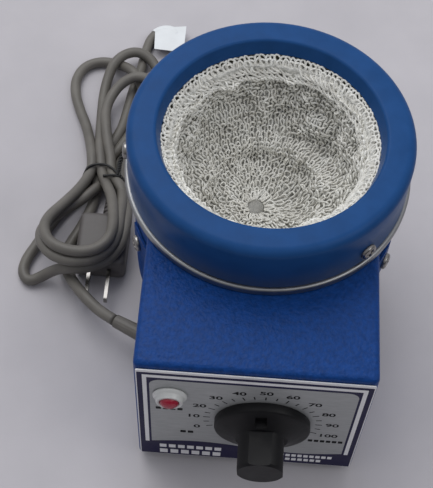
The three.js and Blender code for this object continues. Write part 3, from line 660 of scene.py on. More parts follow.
def floor_paper():
    """Pale grey paper with a faint cloudiness."""
    shading = Shading("floor", (0.50, 0.48, 0.51), 0.85)
    drift = shading.noise(60, 4)
    shading.color(drift, [(0.3, (0.475, 0.460, 0.487)), (0.7, (0.530, 0.512, 0.540))])
    return shading.bump(shading.noise(0.8, 3), 0.05).material


def zinc_plate():
    """Bright zinc on steel, with faint drawing marks."""
    shading = bare_metal("zinc_plate", (0.27, 0.26, 0.25), 0.24)
    return shading.bump(shading.noise(0.3, 2, place=shading.stretched((1, 0.1, 1))), 0.006).material


# Plain finishes: colour, roughness, metallic, the size and contrast of the colour's drift, and the
# size and depth of the grain.
PLAIN_FINISHES = {
    "white_plastic": ((0.66, 0.67, 0.66), 0.35, 0, 5, 0.05, 0.6, 0.01),
    "black_phenolic": ((0.006, 0.006, 0.007), 0.45, 0, 7, 0.2, 0.5, 0.02),
    "plug_plastic": ((0.098, 0.090, 0.087), 0.5, 0, 7, 0.15, 0.5, 0.03),
    "black_rubber": ((0.012, 0.012, 0.012), 0.6, 0, 5, 0.2, 0.5, 0.04),
    "tag_film": ((0.74, 0.77, 0.79), 0.4, 0, 9, 0.04, 0.9, 0.03),
    "label_white": ((0.84, 0.84, 0.86), 0.45, 0, 9, 0.04, 0.4, 0.005),
    "label_navy": ((0.014, 0.012, 0.055), 0.5, 0, 9, 0.1, 0.4, 0.005),
    "label_silver": ((0.80, 0.80, 0.82), 0.4, 0.3, 9, 0.05, 0.4, 0.005),
    "label_black": ((0.006, 0.006, 0.007), 0.6, 0, 9, 0.1, 0.4, 0.005),
    "sleeved_wire": ((0.30, 0.10, 0.07), 0.6),
    "earth_wire": ((0.08, 0.28, 0.06), 0.5),
    "phenolic": ((0.10, 0.045, 0.020), 0.5),
}
SHEEN = {
    "white_plastic": ("Coat Weight", 0.3),
    "black_phenolic": ("Specular IOR Level", 0.2),
    "label_navy": ("Specular IOR Level", 0.15),
    "label_black": ("Specular IOR Level", 0.1),
}


def plain_finish(name):
    """One of the plain finishes as a material."""
    shading = mottled(name, *PLAIN_FINISHES[name])
    if name in SHEEN:
        shading.set(*SHEEN[name])
    return shading.material


def make_looks():
    """Every material of the mantle by name. The slots of the CAD nodes that still show are here too."""
    looks = {name: plain_finish(name) for name in PLAIN_FINISHES}
    looks.update(
        ring_paint=ring_paint(),
        box_paint=box_paint(),
        bare_aluminium=bare_metal("bare_aluminium").material,
        brass=bare_metal("brass", (0.62, 0.42, 0.16), 0.3).material,
        zinc_plate=zinc_plate(),
        glass_fibre=fibre_yarn(),
        disc_yarn=fibre_yarn("disc_yarn", 0.42),
        fibre_backing=fibre_backing(),
        mineral_wool=mineral_wool(),
        cord_jacket=cord_jacket(),
        red_lens=red_lens(),
        label_grey=brushed_print(),
    )
    return looks


# ---------------- screws


def phillips_head(radius, height, cross=0.66, arm=0.2):
    """A pan head about +Z with its seat at 0: a domed top with a cross recess."""
    segments = 48
    rings = 14

    def top(x, y):
        r = math.hypot(x, y) / radius
        dome = height * (0.45 + 0.55 * math.sqrt(max(0.0, 1 - r**2.6)))
        reach = max(abs(x), abs(y)) / (radius * cross)
        across = min(abs(x), abs(y)) / (radius * arm)
        if reach < 1 and across < 1:
            dome -= height * 0.9 * (1 - reach**4) * min(1.0, 3 * (1 - across))
        return dome

    points = [(0, 0, top(0, 0))]
    for i in range(1, rings + 1):
        points += [(x, y, top(x, y)) for x, y in circle(radius * i / rings, segments)]
    base = len(points)
    points += [(x, y, 0) for x, y in circle(radius, segments)]
    faces = []
    for k in range(segments):
        m = (k + 1) % segments
        faces.append((0, 1 + k, 1 + m))
        for i in range(rings):
            low = 1 + i * segments
            high = low + segments if i + 1 < rings else base
            faces.append((low + k, high + k, high + m, low + m))
    faces.append(tuple(base + k for k in range(segments - 1, -1, -1)))
    return mesh_from("screw_head", points, faces)


def far_along(node, away):
    """How far a CAD node reaches in a direction, in millimetres from the origin."""
    return max(away.dot(vertex.co) for vertex in frame["nodes"][node].data.vertices) / MM


def head_direction(node, centre):
    """Which way a screw's head looks: off the round body, off the box's side, or down."""
    if node.startswith(("ring_screw", "tab_screw")):
        return Vector((centre.x, centre.y - AXIS_Y, 0)).normalized()
    if node.startswith("side_screw"):
        return Vector((math.copysign(1, centre.x), 0, 0))
    return Vector((0, 0, -1))


PAN_HEAD = {"radius": 4.0, "height": 2.2, "shank": 1.9}
SIDE_HEAD = {"radius": 2.9, "height": 1.7, "shank": 1.4}
SCREW_NODES = ("ring_screw", "tab_screw", "side_screw", "foot_screw", "pan_bolt")


def build_screws(steel):
    """A finer cross-recess screw stands for every screw of the CAD, aimed as the original."""
    names = sorted(n for n in frame["nodes"] if n.startswith(SCREW_NODES))
    for index, node in enumerate(names):
        low, high = span(node)
        centre = Vector([(a + b) / 2 for a, b in zip(low, high)])
        away = head_direction(node, centre)
        size = SIDE_HEAD if node.startswith("side_screw") else PAN_HEAD
        seat = centre + away * (far_along(node, away) - away.dot(centre) - size["height"])
        shank = lathe_mesh("shank", [(0, -3), (size["shank"], -3), (size["shank"], 0.2), (0, 0.2)], 20)
        head = merged(node, [phillips_head(size["radius"], size["height"]), shank])
        turn = Matrix.Rotation(0.7 * index + 0.3, 4, "Z")
        head = placed(head, facing(away, seat) @ turn)
        piece = add_piece(node + "_head", head, steel)
        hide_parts(node)
        sharpen(piece, 40)


# ---------------- round body


def about_body(mesh):
    """Moves what was made about the origin's axis to the round body's."""
    return placed(mesh, Matrix.Translation((0, AXIS_Y, 0)))


def turned_piece(name, profile, material, node, edge_degrees):
    """A piece turned about the round body's axis, in place of a CAD node."""
    piece = add_piece(name, about_body(lathe_mesh(name, profile, 160)), material)
    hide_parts(node)
    return sharpen(piece, edge_degrees)


RING_EDGE = 4.5
LIP_CREST_RADIUS = 53.0
LIP_EDGE = (49.6, 130.5)
LIP_BEND = 1.8


def build_ring(paint):
    """One spun sheet: skirt, rounded shoulder, flat top and a lip that turns down into the well."""
    edge_r = RING_RADIUS - RING_EDGE
    edge_z = RING_TOP - RING_EDGE
    bottom = RING_LOW[2]
    profile = [
        (RING_RADIUS - SHEET, bottom), (RING_RADIUS - 0.3, bottom), (RING_RADIUS, bottom + 0.4),
        *arc(edge_r, edge_z, RING_EDGE, 0, 90, 14),
        *arc(LIP_CREST_RADIUS, RING_TOP - LIP_BEND, LIP_BEND, 90, 160, 8),
        LIP_EDGE, (LIP_EDGE[0] + SHEET, LIP_EDGE[1]),
        *arc(LIP_CREST_RADIUS, RING_TOP - LIP_BEND, LIP_BEND - SHEET, 160, 90, 5),
        *arc(edge_r, edge_z, RING_EDGE - SHEET, 90, 0, 8),
    ]
    return turned_piece("spun_ring", profile, paint, "top_ring", 45)


BEAD_BEND = 1.2


def build_bead(metal):
    """The bare rolled edge between ring and box, round on the outside with a fine groove."""
    low, high = BEAD_LOW[2], BEAD_HIGH[2]
    inner = PAN_RADIUS + 0.4
    middle = low + (high - low) / 2
    bend_r = BEAD_RADIUS - BEAD_BEND
    profile = [
        (inner, low), (bend_r, low), *arc(bend_r, low + BEAD_BEND, BEAD_BEND, -80, 0, 5),
        *arc(bend_r, high - BEAD_BEND, BEAD_BEND, 0, 80, 5), (bend_r, high),
        (BEAD_RADIUS - 2.2, high), (BEAD_RADIUS - 2.2, middle), (inner, middle),
    ]
    return turned_piece("rolled_bead", profile, metal, "bead_ring", 40)


PAN_CORNER = 30.0


def build_pan(paint):
    """The outer pan, a spun pot that hangs between the box's tabs."""
    bottom = PAN_LOW[2]
    top = PAN_HIGH[2]
    corner_r = PAN_RADIUS - PAN_CORNER
    corner_z = bottom + PAN_CORNER
    profile = [
        (0, bottom), *arc(corner_r, corner_z, PAN_CORNER, -90, 0, 20), (PAN_RADIUS, top),
        (PAN_RADIUS - SHEET, top), *arc(corner_r, corner_z, PAN_CORNER - SHEET, 0, -90, 20),
        (0, bottom + SHEET),
    ]
    return turned_piece("spun_pan", profile, paint, "lower_pan", 45)


# ---------------- knitted well

WELL_ARC = WELL_RADIUS * math.pi / 2  # from the bottom of the bowl up to its straight rim
CLOTH_TOP = WELL_ARC + 9
YARN = 0.52  # radius
RIM_YARN = 0.55
STITCH = 3.3  # width of a knitted loop
ROW_PITCH = 2.9
FIRST_ROW = 9.5
LAST_ROW = WELL_ARC + 5
ROW_SAG = 3.0  # how far the rows dip and rise round the bowl
RIDGE_RISE = 34  # the slack cloth's rolled ridge
SEAM_AZIMUTH = math.radians(97)
POLE_SHIFT = -4.4  # the cloth's gathered middle lies a little to the left


def cloth_bulge(point, azimuth, rise):
    """How far the slack cloth bulges in from the bowl: soft folds, a rolled ridge and a back seam."""
    soft = 4.2 * noise.noise(point / 14) + 2.0 * noise.noise(point / 6)
    ridge = 5.5 * math.exp(-(((rise - RIDGE_RISE) / 5) ** 2)) * (0.5 + 0.5 * math.sin(azimuth + 0.5))
    up_seam = min(1.0, max(0.0, (rise - 42) / 12))
    seam = 1.6 * math.exp(-(((azimuth - SEAM_AZIMUTH) / 0.1) ** 2)) * up_seam
    at_rim = max(0.0, min(1.0, (CLOTH_TOP - rise) / 9))
    return (soft + ridge) * min(1.0, rise / 12) * (0.3 + 0.7 * at_rim) + seam


def on_well(azimuth, rise, lift):
    """A point of the cloth. `rise` is the distance up the bowl from its lowest point, and
    `lift` the distance in from the bowl's own surface."""
    if rise <= WELL_ARC:
        polar = rise / WELL_RADIUS
        out, up = math.sin(polar), -math.cos(polar)
        base_r, base_z = WELL_RADIUS * out, WELL_CENTRE_Z + WELL_RADIUS * up
    else:
        out, up = 1.0, 0.0
        base_r, base_z = WELL_RADIUS, WELL_CENTRE_Z + rise - WELL_ARC
    x, y = math.cos(azimuth), math.sin(azimuth)
    inward = lift + cloth_bulge(Vector((base_r * x, base_r * y, base_z)), azimuth, rise)
    reach = base_r - inward * out
    shift = POLE_SHIFT * max(0.0, 1 - rise / WELL_RADIUS) ** 2
    return Vector((reach * x + shift, AXIS_Y + reach * y, base_z - inward * up))


def backing_mesh():
    """The felted cloth behind the stitches, one shell from the rim down to the bottom."""
    rows = 60
    columns = 180
    points = []
    for lift in (-0.5, -3.0):
        points.append(on_well(0, 0, lift))
        for i in range(1, rows + 1):
            for k in range(columns):
                points.append(on_well(2 * math.pi * k / columns, CLOTH_TOP * i / rows, lift))
    size = 1 + rows * columns
    faces = []
    for k in range(columns):
        m = (k + 1) % columns
        faces.append((0, 1 + m, 1 + k))
        faces.append((size, size + 1 + k, size + 1 + m))
        for i in range(rows - 1):
            a, b = 1 + i * columns, 1 + (i + 1) * columns
            faces.append((a + k, a + m, b + m, b + k))
            faces.append((size + a + k, size + b + k, size + b + m, size + a + m))
        last = 1 + (rows - 1) * columns
        faces.append((last + k, last + m, size + last + m, size + last + k))
    return mesh_from("backing", points, faces)


def shaken(point, size, amount):
    """The point moved a little by noise, so that no two loops lie the same. Blender seeds this noise
    from the clock, so they also lie a little differently in each run."""
    return point + amount * noise.noise_vector(point / size)


def knit_row(rise, shift):
    """One closed row of knitted loops at a height of the cloth."""
    polar = min(rise, WELL_ARC) / WELL_RADIUS
    count = max(18, round(2 * math.pi * WELL_RADIUS * math.sin(polar) / STITCH))
    wide = 2 * math.pi / count
    per_stitch = 12
    points = []
    for i in range(count * per_stitch):
        turn = 2 * math.pi * i / per_stitch
        azimuth = (i / per_stitch + shift) * wide + 0.17 * wide * math.sin(2 * turn)
        sag = ROW_SAG * math.sin(2 * azimuth + 0.9) * min(1.0, rise / 40)
        height = rise + sag - 0.8 * ROW_PITCH * math.cos(turn)
        lift = 0.9 - math.cos(turn)
        points.append(shaken(on_well(azimuth % (2 * math.pi), height, lift), 3.2, 1.1))
    return tube_mesh("knit_row", points, YARN, 5, closed=True)


LOOSE_LOOPS = 230


def loose_loops():
    """Curls of yarn that stand out of the knitting at every angle."""
    curls = []
    for _ in range(LOOSE_LOOPS):
        azimuth = 2 * math.pi * random.random()
        rise = 12 + (WELL_ARC - 8) * math.sqrt(random.random())
        length = 1.5 + 1.2 * random.random()
        slant = math.pi * random.random()
        around = length * math.cos(slant) / (WELL_RADIUS * math.sin(min(rise, WELL_ARC) / WELL_RADIUS))
        points = []
        for k in range(9):
            angle = math.pi * k / 8
            step = math.cos(angle)
            at = (azimuth + around * step) % (2 * math.pi)
            points.append(on_well(at, rise + length * math.sin(slant) * step, 0.6 + 2.0 * math.sin(angle)))
        curls.append(tube_mesh("curl", points, YARN, 5))
    return merged("curls", curls)


def rim_loops(turns, phase, radius, middle, height, width):
    """Open loops of yarn that stand side by side round the rim."""
    per_turn = 16
    points = []
    for i in range(turns * per_turn):
        azimuth = 2 * math.pi * i / (turns * per_turn)
        angle = 2 * math.pi * i / per_turn + phase
        lean = 0.95 * 2 * math.pi / turns * math.cos(angle - 0.5)
        r = radius + width * math.sin(angle - 0.25)
        x, y = r * math.cos(azimuth + lean), r * math.sin(azimuth + lean)
        points.append(shaken(Vector((x, AXIS_Y + y, middle + height * math.sin(angle))), 3.1, 1.0))
    return tube_mesh("rim_loop", points, RIM_YARN, 6, closed=True)


ROPE_TWISTS = 70


def rim_rope():
    """The drawstring under the rim loops: two strands laid round each other."""
    count = 6 * ROPE_TWISTS
    strands = []
    for phase in (0, math.pi):
        points = []
        for k in range(count):
            azimuth = 2 * math.pi * k / count
            angle = 2 * math.pi * ROPE_TWISTS * k / count + phase
            rise = WELL_ARC + 2.6 + 0.7 * math.sin(angle)
            points.append(shaken(on_well(azimuth, rise, 1.7 + 0.7 * math.cos(angle)), 4, 0.8))
        strands.append(tube_mesh("rope", points, RIM_YARN, 6, closed=True))
    return strands


DISC_RADIUS = 4.6
DISC_LOOPS = 20


def bottom_loops():
    """Short loops of yarn that run in to the disc from all round."""
    loops = []
    for i in range(DISC_LOOPS):
        azimuth = 2 * math.pi * (i + 0.5 * random.random()) / DISC_LOOPS
        reach = 8.5 + 2 * random.random()
        spread = 0.2 + 0.08 * random.random()
        points = []
        for k in range(13):
            angle = math.pi * k / 12
            rise = DISC_RADIUS - 0.6 + (reach - DISC_RADIUS) * math.sin(angle)
            at = (azimuth - spread * math.cos(angle)) % (2 * math.pi)
            points.append(shaken(on_well(at, rise, 1.0 + 0.5 * math.sin(angle)), 2, 0.7))
        loops.append(tube_mesh("loop", points, YARN, 5))
    return merged("loops", loops)


def bottom_disc():
    """The woven disc that the cloth is gathered round."""
    profile = [
        (0, -1.2), (DISC_RADIUS - 0.2, -1.2), (DISC_RADIUS, -0.6), (DISC_RADIUS - 0.4, 0), (2, 0.3), (0, 0.3),
    ]
    at = (POLE_SHIFT, AXIS_Y, WELL_CENTRE_Z - WELL_RADIUS + 1.2)
    return placed(lathe_mesh("disc", profile, 40), Matrix.Translation(at))


def hem():
    """A strip of cloth that closes the gap behind the rim's loops."""
    profile = [(45.0, RIM_Z - 8), (48.8, RIM_Z - 3.4), (48.8, RIM_Z - 2.6), (45.0, RIM_Z - 6.5)]
    return about_body(lathe_mesh("hem", profile, 120))


def knit_rows():
    """All the rows of knitting, from the bottom disc up to the rim."""
    rows = []
    rise = FIRST_ROW
    while rise < LAST_ROW:
        rows.append(knit_row(rise, random.random()))
        rise += ROW_PITCH
    return rows


def build_well(looks):
    """The knitted well: its cloth, the rows of knitting, the looped rim, loose curls and the disc."""
    rim = [
        (124, 0, 47.6, RIM_Z - 2.7, 2.6, 1.9),
        (109, 1.4, 46.0, RIM_Z - 3.8, 2.7, 2.0),
        (95, 2.9, 44.6, RIM_Z - 6.2, 2.6, 1.6),
    ]
    layers = [
        ("well_backing", lambda: [backing_mesh(), hem()], "fibre_backing"),
        ("well_knit", knit_rows, "glass_fibre"),
        ("well_rim", lambda: [*(rim_loops(*row) for row in rim), *rim_rope()], "glass_fibre"),
        ("well_loops", lambda: [bottom_loops(), loose_loops()], "glass_fibre"),
        ("well_disc", lambda: [bottom_disc()], "disc_yarn"),
    ]
    for name, make_meshes, look in layers:
        piece = add_piece(name, merged(name, make_meshes()), looks[look])
        if name == "well_backing":
            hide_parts("fibre_well")


# ---------------- control box


def carved(mesh, cutters):
    """The mesh with the volume of every cutter taken away."""
    holder = bpy.data.objects.new("holder", mesh)
    tools = [bpy.data.objects.new("tool", cutter) for cutter in cutters]
    for item in (holder, *tools):
        bpy.context.scene.collection.objects.link(item)
    for tool in tools:
        cut = holder.modifiers.new("cut", "BOOLEAN")
        cut.operation = "DIFFERENCE"
        cut.solver = "EXACT"
        cut.object = tool
    graph = bpy.context.evaluated_depsgraph_get()
    result = bpy.data.meshes.new_from_object(holder.evaluated_get(graph))
    for item in (holder, *tools):
        used = item.data
        bpy.data.objects.remove(item)
        bpy.data.meshes.remove(used)
    return result


def block(name, low, high):
    """A box with sharp edges, to cut with."""
    return rounded_box(name, low, high, 0.001, 1)


BOX_BEND = 2.5  # outer radius of the folds
BOX_HALF_WIDTH = 52.5
BOX_REAR = 0.0  # where the sides and top end; the tabs reach further
TAB_BOTTOM, TAB_TOP = 66.0, 84.0
ROOM_RADIUS = PAN_RADIUS + 0.3  # the box is cut away round the pan


def box_tab(side, rear):
    """A curved tab that lies on the pan, from the box's side back to `rear`."""
    outer = ROOM_RADIUS + SHEET
    first = math.acos((BOX_HALF_WIDTH - SHEET + 0.1) / ROOM_RADIUS)
    last = math.asin((AXIS_Y - rear) / outer)
    steps = 14
    points = []
    for i in range(steps + 1):
        angle = first + (last - first) * i / steps
        for r in (ROOM_RADIUS, outer):
            for z in (TAB_BOTTOM, TAB_TOP):
                points.append((side * r * math.cos(angle), AXIS_Y - r * math.sin(angle), z))
    faces = [(0, 1, 3, 2), tuple(4 * steps + k for k in (0, 2, 3, 1))]
    for i in range(steps):
        for a, b in ((0, 1), (1, 3), (3, 2), (2, 0)):
            faces.append((4 * i + a, 4 * i + b, 4 * i + 4 + b, 4 * i + 4 + a))
    return mesh_from("tab", points, faces)


def build_box(paint):
    """One folded sheet: front, sides and top, hollowed, and cut away at the back for the pan."""
    beyond = 20  # how far the uncut box runs past its open sides
    front, bottom, top = BOX_LOW[1], BOX_LOW[2], BOX_HIGH[2]
    low = (-BOX_HALF_WIDTH, front, bottom - beyond)
    high = (BOX_HALF_WIDTH, BOX_REAR + beyond, top)
    hollow_low = (-BOX_HALF_WIDTH + SHEET, front + SHEET, bottom - 2 * beyond)
    hollow_high = (BOX_HALF_WIDTH - SHEET, BOX_REAR + 2 * beyond, top - SHEET)
    room = lathe_mesh("room", [(0, -9), (ROOM_RADIUS, -9), (ROOM_RADIUS, 150), (0, 150)], 160)
    cutters = [
        block("below", (-80, -100, -80), (80, 80, bottom)),
        block("behind", (-80, BOX_REAR, -80), (80, 80, 150)),
        rounded_box("hollow", hollow_low, hollow_high, BOX_BEND - SHEET, 5),
        about_body(room),
    ]
    folded = carved(rounded_box("box_shell", low, high, BOX_BEND, 8), cutters)
    tabs = [box_tab(side, BOX_HIGH[1]) for side in (-1, 1)]
    box = add_piece("box_shell", merged("box_shell", [folded, *tabs]), paint)
    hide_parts("control_box")
    return sharpen(box, 40)


# ---------------- panel

PRINT = 0.05  # how far each printed layer stands proud of the one below


def rounded_outline(low, high, radii):
    """A rectangle's outline. The radii go round from its lower left corner, or are all the same."""
    radii = radii if isinstance(radii, tuple) else (radii,) * 4
    corners = [(low[0], low[1], 180), (high[0], low[1], 270), (high[0], high[1], 0), (low[0], high[1], 90)]
    inwards = [(1, 1), (-1, 1), (-1, -1), (1, -1)]
    points = []
    for (x, y, start), (to_x, to_y), radius in zip(corners, inwards, radii):
        middle = (x + to_x * radius, y + to_y * radius)
        points += arc(*middle, radius, start, start + 90, 6) if radius else [(x, y)]
    return points


NUMBER_HEIGHT = 3.4
NUMBER_WIDTH = 1.32  # against the font's own
FONT_SIZE = NUMBER_HEIGHT * 1.38  # which gives numerals of about that height


def number_mesh(text, x, y, low, high):
    """A generic wide numeral, its middle at (x, y) on the panel."""
    curve = bpy.data.curves.new("number", "FONT")
    curve.body = text
    curve.size = FONT_SIZE * MM
    curve.align_x = "CENTER"
    curve.align_y = "CENTER"
    curve.extrude = (high - low) / 2 * MM
    curve.offset = 0.1 * MM
    holder = bpy.data.objects.new("number", curve)
    bpy.context.scene.collection.objects.link(holder)
    graph = bpy.context.evaluated_depsgraph_get()
    mesh = bpy.data.meshes.new_from_object(holder.evaluated_get(graph))
    bpy.data.objects.remove(holder)
    bpy.data.curves.remove(curve)
    mesh.transform(Matrix.Diagonal((NUMBER_WIDTH, 1, 1, 1)))
    return placed(mesh, Matrix.Translation((x, y, (low + high) / 2)))


DIAL_SWEEP = 110  # degrees to each side of straight up
TICKS = 20
TICK_INNER, TICK_OUTER, TICK_HALF_WIDTH = 24.6, 27.2, 0.3
NUMBER_RADIUS = 31.0


def dial_print(low, high):
    """Twenty-one ticks, and a number at every second one. Numbers at the sides stand further out."""
    meshes = []
    for i in range(TICKS + 1):
        angle = math.radians(DIAL_SWEEP * (2 * i / TICKS - 1))
        numbered = i % 2 == 0
        inner = TICK_INNER - (0.5 if numbered else 0)
        corners = ((-TICK_HALF_WIDTH, inner), (TICK_HALF_WIDTH, TICK_OUTER))
        tick = plate_mesh("tick", rounded_outline(*corners, 0), low, high)
        turn = Matrix.Rotation(-angle, 4, "Z")
        meshes.append(placed(tick, Matrix.Translation((DIAL_X, DIAL_Z, 0)) @ turn))
        if numbered:
            reach = NUMBER_RADIUS + (2.2 if i == TICKS else 0.8) * abs(math.sin(angle))
            at = (DIAL_X + reach * math.sin(angle), DIAL_Z + reach * math.cos(angle))
            meshes.append(number_mesh(str(i * 5), *at, low, high))
    return meshes


def letter_blocks(count, left, bottom, width, height, low, high):
    """A row of plain blocks that stands in for a line of lettering."""
    pitch = width / count
    blocks = []
    for i in range(count):
        start = left + pitch * i
        end = left + pitch * (i + 0.74)
        outline = rounded_outline((start, bottom), (end, bottom + height), 0.3)
        blocks.append(plate_mesh("block", outline, low, high))
    return blocks


def on_label(name, meshes, material):
    """A layer of the label, its meshes drawn flat and stood up on the panel."""
    mesh = placed(merged(name, meshes), on_panel(0, 0))
    return add_piece(name, mesh, material, smooth=False)


def grey_field(left, right, bottom, top):
    """The outline of the label's grey field: a wave below, rounded corners above."""
    waves = 40
    wave = [
        (left + (right - left) * i / waves, bottom + 16.5 + 3 * math.sin(2 * math.pi * i / waves))
        for i in range(waves + 1)
    ]
    return wave + rounded_outline((left, bottom + 20), (right, top - 8.5), (0, 0, 5, 5))[2:]


def build_label(looks):
    """The printed plate: nested frames round a grey field, over a dark band along the bottom."""
    left, right = LABEL_LOW[0], LABEL_HIGH[0]
    bottom, top = LABEL_LOW[2], LABEL_HIGH[2]
    thick = LABEL_HIGH[1] - LABEL_LOW[1]
    outline = rounded_outline((left, bottom), (right, top), 0.8)
    label = on_label("label_plate", [plate_mesh("label", outline, -thick, 0)], looks["label_silver"])
    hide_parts("panel_label")
    frames = [  # inset from the sides, the bottom and the top, and the corners' radius
        ("label_navy", "label_navy", 0.5, 0.4, 2.1, 0.5),
        ("label_stripe", "label_white", 2.8, 15.5, 4.2, 0.2),
        ("label_inner_line", "label_navy", 4.7, 13, 6.7, 0.2),
    ]
    for layer, (name, look, side, below, above, corner) in enumerate(frames, start=1):
        corners = ((left + side, bottom + below), (right - side, top - above))
        outline = rounded_outline(*corners, corner)
        on_label(name, [plate_mesh(name, outline, -thick / 2, layer * PRINT)], looks[look])
    field_top = 4 * PRINT
    field = grey_field(left + 5.8, right - 5.8, bottom, top)
    plate = plate_mesh("field", field, -thick / 2, field_top)
    on_label("label_field", [plate], looks["label_grey"])
    black_layer = (field_top, field_top + 0.03)
    words = letter_blocks(4, LAMP_X - 6.5, LAMP_Z - 16.4, 13, 2.5, *black_layer)
    words += letter_blocks(2, DIAL_X - 37.5, DIAL_Z - 19.5, 7, 2.6, *black_layer)
    words += letter_blocks(6, DIAL_X + 22.5, DIAL_Z - 19.5, 17, 2.6, *black_layer)
    on_label("dial_print", [*dial_print(*black_layer), *words], looks["label_black"])
    white_layer = (PRINT, 2 * PRINT)
    title = letter_blocks(7, left + 9.5, bottom + 8.9, 31, 4.6, *white_layer)
    title += letter_blocks(6, left + 9.5, bottom + 2.0, 31, 4.6, *white_layer)
    title += letter_blocks(10, right - 38, bottom + 8.4, 29, 3.0, *white_layer)
    title += letter_blocks(8, right - 38, bottom + 3.4, 24, 3.0, *white_layer)
    on_label("label_blocks", title, looks["label_white"])


LENS_RADIUS = 4.2
LENS_SEAT, LENS_SHOULDER = 2.7, 4.4
LENS_FLATTENING = 0.62


def build_lamp(looks):
    """A moulded bezel and a low domed lens."""
    bezel_profile = [
        (0, 0.25), (7.3, 0.25), (7.7, 0.6), (7.7, 1.1), (7.2, 1.7), (6.5, 1.9), (6.3, 2.3), (6.1, 3.9),
        (5.8, 4.4), (4.8, 4.4), (4.5, 4.1), (4.5, 2.6), (0, 2.6),
    ]
    dome = arc(0, 3.6, LENS_RADIUS, 25, 90, 8)
    low_dome = [(r, LENS_SHOULDER + (z - LENS_SHOULDER) * LENS_FLATTENING) for r, z in dome]
    lens_profile = [(0, LENS_SEAT), (LENS_RADIUS, LENS_SEAT), (LENS_RADIUS, LENS_SHOULDER), *low_dome]
    pieces = [
        ("lamp_ring", bezel_profile, "white_plastic", "lamp_bezel"),
        ("lamp_window", lens_profile, "red_lens", "lamp_lens"),
    ]
    for name, profile, look, node in pieces:
        mesh = placed(lathe_mesh(name, profile, 64), on_panel(LAMP_X, LAMP_Z))
        piece = add_piece(name, mesh, looks[look])
        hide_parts(node)
        sharpen(piece, 50)


GRIP_RADIUS = 11.5
GRIP_FLAT = 10.3  # from the axis to the flat on top of the grip
CHEEK_AT = 12.7  # the middle of the cut on each side of the grip
CUT_FROM = 9.2  # the flat and the cheeks stop short of the skirt


def build_knob(plastic):
    """A skirted knob: a turned blank with a flat on top of its grip, two cheeks and a pointer slot."""
    reach = LABEL_FRONT - KNOB_LOW[1]
    blank = [
        (0, 0.3), (21.6, 0.3), (21.9, 0.7), (21.9, 3.9), (21.6, 4.5), (20.9, 4.9), (19, 5.5), (17, 6.3),
        (15, 7.2), (13, 8.3), (11.9, 9.2), (GRIP_RADIUS, 10), (GRIP_RADIUS, reach - 1.3),
        (GRIP_RADIUS - 0.4, reach - 0.6), (GRIP_RADIUS - 1.2, reach), (0, reach),
    ]
    beyond = reach + 3
    cutters = [block("flat", (-8, GRIP_FLAT, CUT_FROM), (8, GRIP_FLAT + 5, beyond))]
    for side in (-1, 1):
        middle = side * CHEEK_AT
        cutters.append(block("cheek", (middle - 2.5, -6.5, CUT_FROM), (middle + 2.5, 6.5, beyond)))
    cutters.append(block("slot", (-2.6, GRIP_RADIUS + 1, 5.0), (2.6, 18, 12)))
    mesh = carved(lathe_mesh("knob_grip", blank, 96), cutters)
    mesh = placed(mesh, on_panel(DIAL_X, DIAL_Z) @ Matrix.Rotation(-RESTING_TURN, 4, "Z"))
    knob = add_piece("knob_grip", mesh, plastic, KNOB_BODY)
    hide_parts("knob")
    bevel = knob.modifiers.new("edges", "BEVEL")
    bevel.width = 0.35 * MM
    bevel.segments = 2
    bevel.limit_method = "ANGLE"
    bevel.angle_limit = math.radians(35)
    return sharpen(knob, 35)


# ---------------- parts kept from the CAD


def dress_cad_nodes(looks):
    """Every CAD node that still shows takes the material of its slot in the record."""
    for entry in frame["record"]["subparts"]:
        piece = frame["nodes"][entry["node"]]
        if piece.hide_render:
            continue
        piece.data.materials.clear()
        piece.data.materials.append(looks[entry["material_slot"]])


# ---------------- floor and light


FLOOR_REACH = 1500


def build_floor(paper):
    """A wide sheet of paper that the mantle stands on."""
    corners = [(-FLOOR_REACH, -FLOOR_REACH, 0), (FLOOR_REACH, -FLOOR_REACH, 0)]
    corners += [(FLOOR_REACH, FLOOR_REACH, 0), (-FLOOR_REACH, FLOOR_REACH, 0)]
    mesh = mesh_from("floor", corners, [(0, 1, 2, 3)])
    floor = bpy.data.objects.new("floor", mesh)
    mesh.materials.append(paper)
    bpy.context.scene.collection.objects.link(floor)


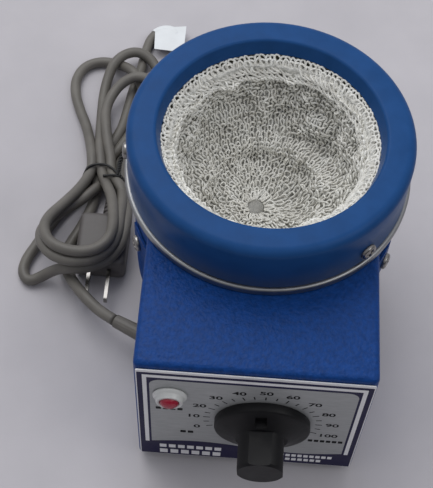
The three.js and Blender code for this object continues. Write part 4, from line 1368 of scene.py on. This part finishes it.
def add_softbox(name, at, target, size, power):
    """A square light that looks at its target, in metres and watts."""
    data = bpy.data.lights.new(name, "AREA")
    data.size = size
    data.energy = power
    light = bpy.data.objects.new(name, data)
    light.location = at
    light.rotation_euler = (Vector(target) - Vector(at)).to_track_quat("-Z", "Y").to_euler()
    bpy.context.scene.collection.objects.link(light)


SKY_TOWARDS = (-0.30, 0.55, 0.78)  # the brightest part of the room: above, behind and to the left
SKY_COLOR = (0.95, 0.96, 1.0, 1)
SKY_DIM, SKY_BRIGHT = 0.03, 0.80  # strength, in the darkest and the brightest part
DARK_FROM = -0.6  # how far to the other side the light fades out


def light_studio():
    """A dim room that is brighter above and behind, and two large soft boxes."""
    world = bpy.data.worlds.new("studio")
    world.use_nodes = True
    tree = world.node_tree
    looking = add_node(tree, "ShaderNodeTexCoord", {}).outputs["Generated"]
    towards = {0: looking, 1: SKY_TOWARDS}
    share = add_node(tree, "ShaderNodeVectorMath", towards, operation="DOT_PRODUCT").outputs["Value"]
    fade = {"Value": share, "From Min": DARK_FROM, "To Min": SKY_DIM, "To Max": SKY_BRIGHT}
    strength = add_node(tree, "ShaderNodeMapRange", fade).outputs["Result"]
    background = tree.nodes["Background"]
    background.inputs["Color"].default_value = SKY_COLOR
    tree.links.new(strength, background.inputs["Strength"])
    bpy.context.scene.world = world
    add_softbox("overhead", (-0.35, 0.6, 1.25), (0, 0.02, 0.05), 1.0, 8)
    add_softbox("right", (0.75, -0.3, 0.9), (0.15, 0, 0), 0.6, 2.0)
    bpy.context.scene.view_settings.view_transform = "Standard"


# ---------------- the whole scene


def build_scene():
    """The camera and the cord come first, then the mantle from its ring down, and the room last."""
    random.seed(11)
    make_camera()
    looks = make_looks()
    build_cord(looks)
    build_ring(looks["ring_paint"])
    build_bead(looks["bare_aluminium"])
    build_pan(looks["box_paint"])
    build_well(looks)
    build_box(looks["box_paint"])
    build_label(looks)
    build_lamp(looks)
    build_knob(looks["black_phenolic"])
    build_screws(looks["zinc_plate"])
    dress_cad_nodes(looks)
    build_floor(floor_paper())
    light_studio()


build_scene()
